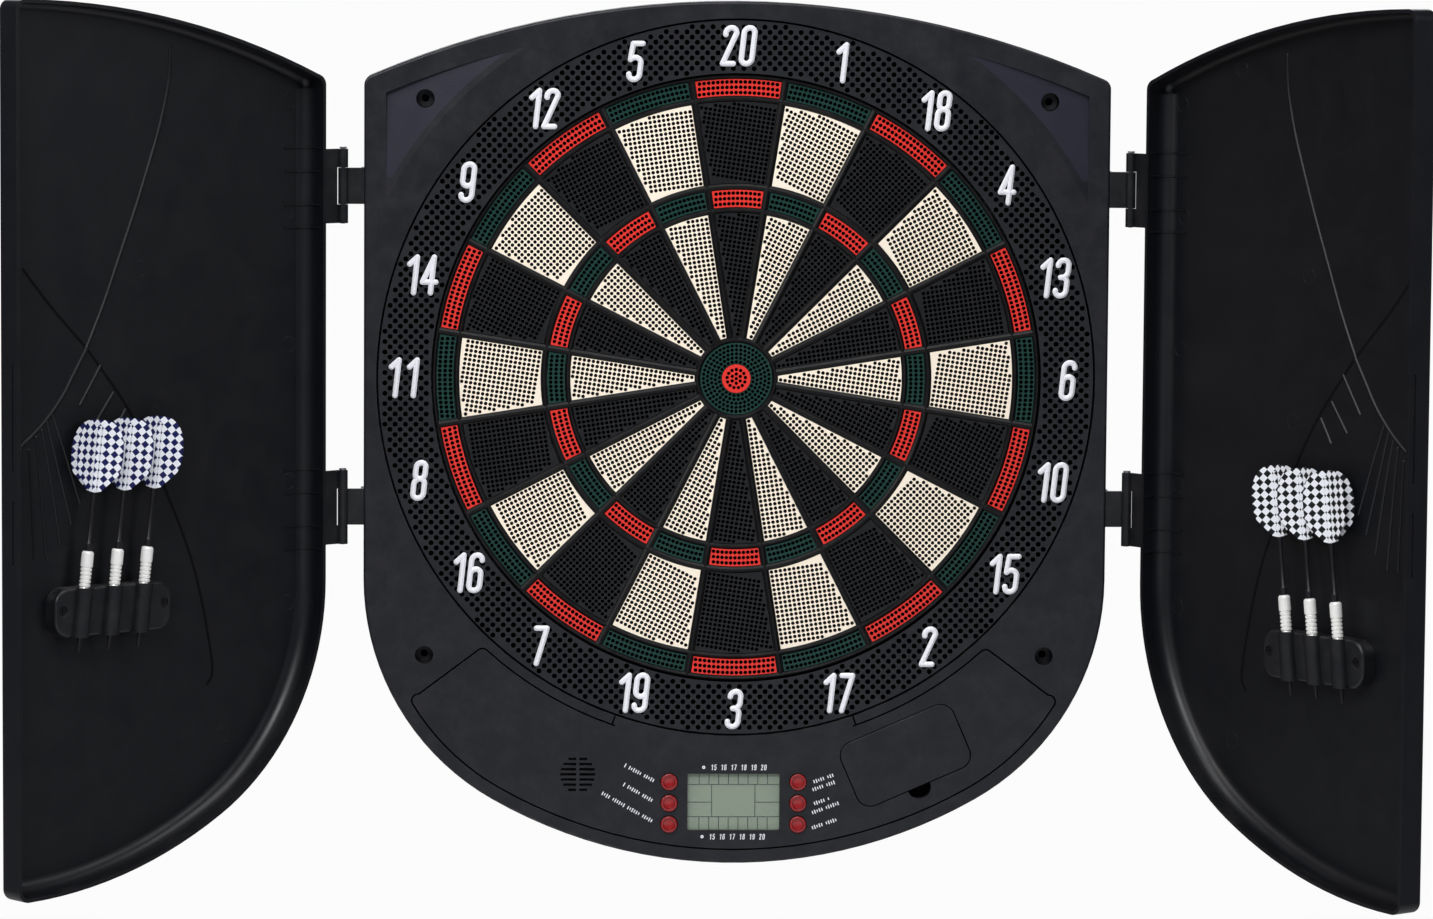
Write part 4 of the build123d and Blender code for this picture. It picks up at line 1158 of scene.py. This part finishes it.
# ------------------------------------------------------------- dart holders
# Each door carries a rack screwed to its panel. Three leaning sockets hold
# the darts by their barrels, with the soft tips showing below.
rack_plastic = moulded("rack_plastic", paint(20, 21, 24), 0.36, grain=1400.0, relief=0.15, wear_and_highlight=0.4, dust=0.25)
black_steel = moulded("black_steel", paint(40, 40, 44), 0.35, relief=0.05, wear_and_highlight=0.5, metal=0.8)
for side_name in ("left", "right"):
    coat(f"{side_name}_dart_holder", rack_plastic)
    coat(f"{side_name}_holder_screws", black_steel)

# -------------------------------------------------------------------- darts
# A soft-tip dart: knurled nickel-plated brass barrel, black nylon tip and
# shaft, and four thin printed wings moulded together as one flight.
nickel = moulded("barrel_nickel", paint(252, 251, 247), 0.26, 2600.0, 0.15, 0.1, wear_and_highlight=0.2, dust=0.05, metal=0.2)
nylon = moulded("tip_nylon", paint(22, 22, 25), 0.35, grain=1600.0, relief=0.08, wear_and_highlight=0.2, dust=0.1)
CHEQUER_PITCH, CHEQUER_REACH = 0.00265, 0.0025


def chequered(name, ink):
    """White film printed all over with small diamonds in rows."""
    material = moulded(name, WHITE, 0.32, grain=1500.0, relief=0.04, mottle=0.0, wear_and_highlight=0.0, dust=0.04)
    make = Maker(material.node_tree)
    place = make("ShaderNodeSeparateXYZ", {0: make("ShaderNodeUVMap", uv_map="wing")})
    off_column = place["X"].do("PINGPONG", CHEQUER_PITCH)
    off_row = place["Y"].do("PINGPONG", CHEQUER_PITCH)
    diamond = (off_column + off_row) < CHEQUER_REACH
    film = make.blend(diamond, (0.80, 0.81, 0.85, 1.0), ink)
    film.into(material.node_tree.nodes["Principled BSDF"].inputs["Base Color"])
    return material


FLIGHT_FILM = {
    "left": (chequered("navy_chequer", paint(14, 22, 78)), "flight_navy"),
    "right": (chequered("black_chequer", paint(16, 17, 20)), "flight_black"),
}


def film_face(build, corners, film, spots):
    """A face; on printed film its corners also take their (across, along) spots in millimetres."""
    face = build.faces.new(corners)
    if film:
        for loop, (u, v) in zip(face.loops, spots):
            loop[film].uv = (u * 0.001, v * 0.001)


def turned(build, profile, put, sides=20, film=None):
    """Spin (radius, height) pairs round a dart's axis into a closed shell."""
    around = [(math.cos(math.tau * k / sides), math.sin(math.tau * k / sides)) for k in range(sides)]
    levels = [[build.verts.new(put(r * u, r * v, h)) for u, v in around] for r, h in profile]
    heights = [(level, h) for level, (r, h) in zip(levels, profile)]
    for (below, low), (above, high) in zip(heights, heights[1:]):
        for k in range(sides):
            corners = (below[k], below[(k + 1) % sides], above[(k + 1) % sides], above[k])
            film_face(build, corners, film, ((k, low), (k + 1, low), (k + 1, high), (k, high)))
    build.faces.new(list(reversed(levels[0])))
    build.faces.new(levels[-1])


HOLDER_FROM_HINGE = {"left": 177.0, "right": 167.0}
HOLDER_TOP = {"left": -123.5, "right": -150.5}
DART_LEAN, DART_PITCH, DART_OUT = math.radians(-7.0), 23.0, 40.5
WING_TURNS, WING_SKIN = [math.radians(turn) for turn in (5.0, -35.0, 145.0, 185.0)], 0.14
WING = (
    (1.7, 60.2), (4.5, 61.0), (11.0, 68.0), (14.2, 71.6), (15.6, 76.0), (16.2, 81.0), (16.3, 87.0), (15.9, 91.5),
    (14.9, 96.0), (13.2, 99.6), (10.8, 102.6), (7.8, 104.8), (4.2, 105.7), (0.0, 105.8), (0.0, 102.0), (1.7, 101.9),
)
barrel_profile = [(2.4, -27.0), (3.4, -26.2)]
for groove in range(12):
    start = -25.0 + groove * 2.05
    barrel_profile += [(3.6, start), (3.6, start + 1.2), (3.3, start + 1.45), (3.3, start + 1.8)]
for ridge in range(5):
    middle = 1.4 + ridge * 2.5
    barrel_profile += [(2.95, middle - 1.05), (3.6, middle - 0.7), (3.6, middle + 0.7), (2.95, middle + 1.05)]
barrel_profile += [(3.2, 12.7), (3.9, 13.2), (3.9, 21.6), (3.4, 22.6), (2.9, 23.0)]
tip_profile = [(0.35, -40.9), (0.9, -40.2), (1.25, -34.0), (1.5, -31.0), (1.9, -30.4), (1.9, -27.1)]
shaft_profile = [(2.1, 23.1), (2.1, 27.5), (1.45, 29.0), (1.25, 45.0), (1.3, 56.0), (1.5, 58.0), (1.5, 80.9)]
sleeve_profile = [(1.56, 60.0), (1.9, 60.4), (1.9, 101.6), (1.6, 101.95)]
for side_name in ("left", "right"):
    for number in (1, 2, 3):
        row = number - 2
        spot = Vector((HOLDER_FROM_HINGE[side_name] - HINGE_X - row * DART_PITCH, -DART_OUT, HOLDER_TOP[side_name]))
        dart_place = DOOR_PLACE[side_name] @ Matrix.Translation(spot) @ Matrix.Rotation(DART_LEAN, 4, "Y")

        def on_dart(x, y, z):
            return (dart_place @ Vector((x, y, z))) * 0.001

        body = f"{side_name}_dart_{number}"
        # the barrel, then the tip and shaft as one rod, then the flight
        build = bmesh.new()
        turned(build, barrel_profile, on_dart, 24)
        barrel = finish_build(build, body + "_knurled_barrel", nickel, 0.4)
        build = bmesh.new()
        turned(build, tip_profile, on_dart)
        turned(build, shaft_profile, on_dart)
        rod = finish_build(build, body + "_tip_and_shaft", nylon, 0.4)
        build = bmesh.new()
        film = build.loops.layers.uv.new("wing")
        for wing_turn in WING_TURNS:
            way = (math.cos(wing_turn), math.sin(wing_turn))
            front, back = [
                [build.verts.new(on_dart(r * way[0] - skin * way[1], r * way[1] + skin * way[0], h)) for r, h in WING]
                for skin in (-WING_SKIN, WING_SKIN)
            ]
            film_face(build, front, film, WING)
            film_face(build, list(reversed(back)), film, list(reversed(WING)))
            for k in range(len(WING)):
                after = (k + 1) % len(WING)
                corners = (front[k], front[after], back[after], back[k])
                film_face(build, corners, film, (WING[k], WING[after], WING[after], WING[k]))
        turned(build, sleeve_profile, on_dart, 12, film)
        flight_film, flight_slot = FLIGHT_FILM[side_name]
        flight = finish_build(build, body + "_printed_flight", flight_film, 0.4)
        for piece, part, slot_name in (
            (barrel, "barrel", "dart_nickel"), (rod, "shaft", "dart_nylon"), (flight, "flight", flight_slot)
        ):
            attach(piece, body)
            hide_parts(f"{body}_{part}")
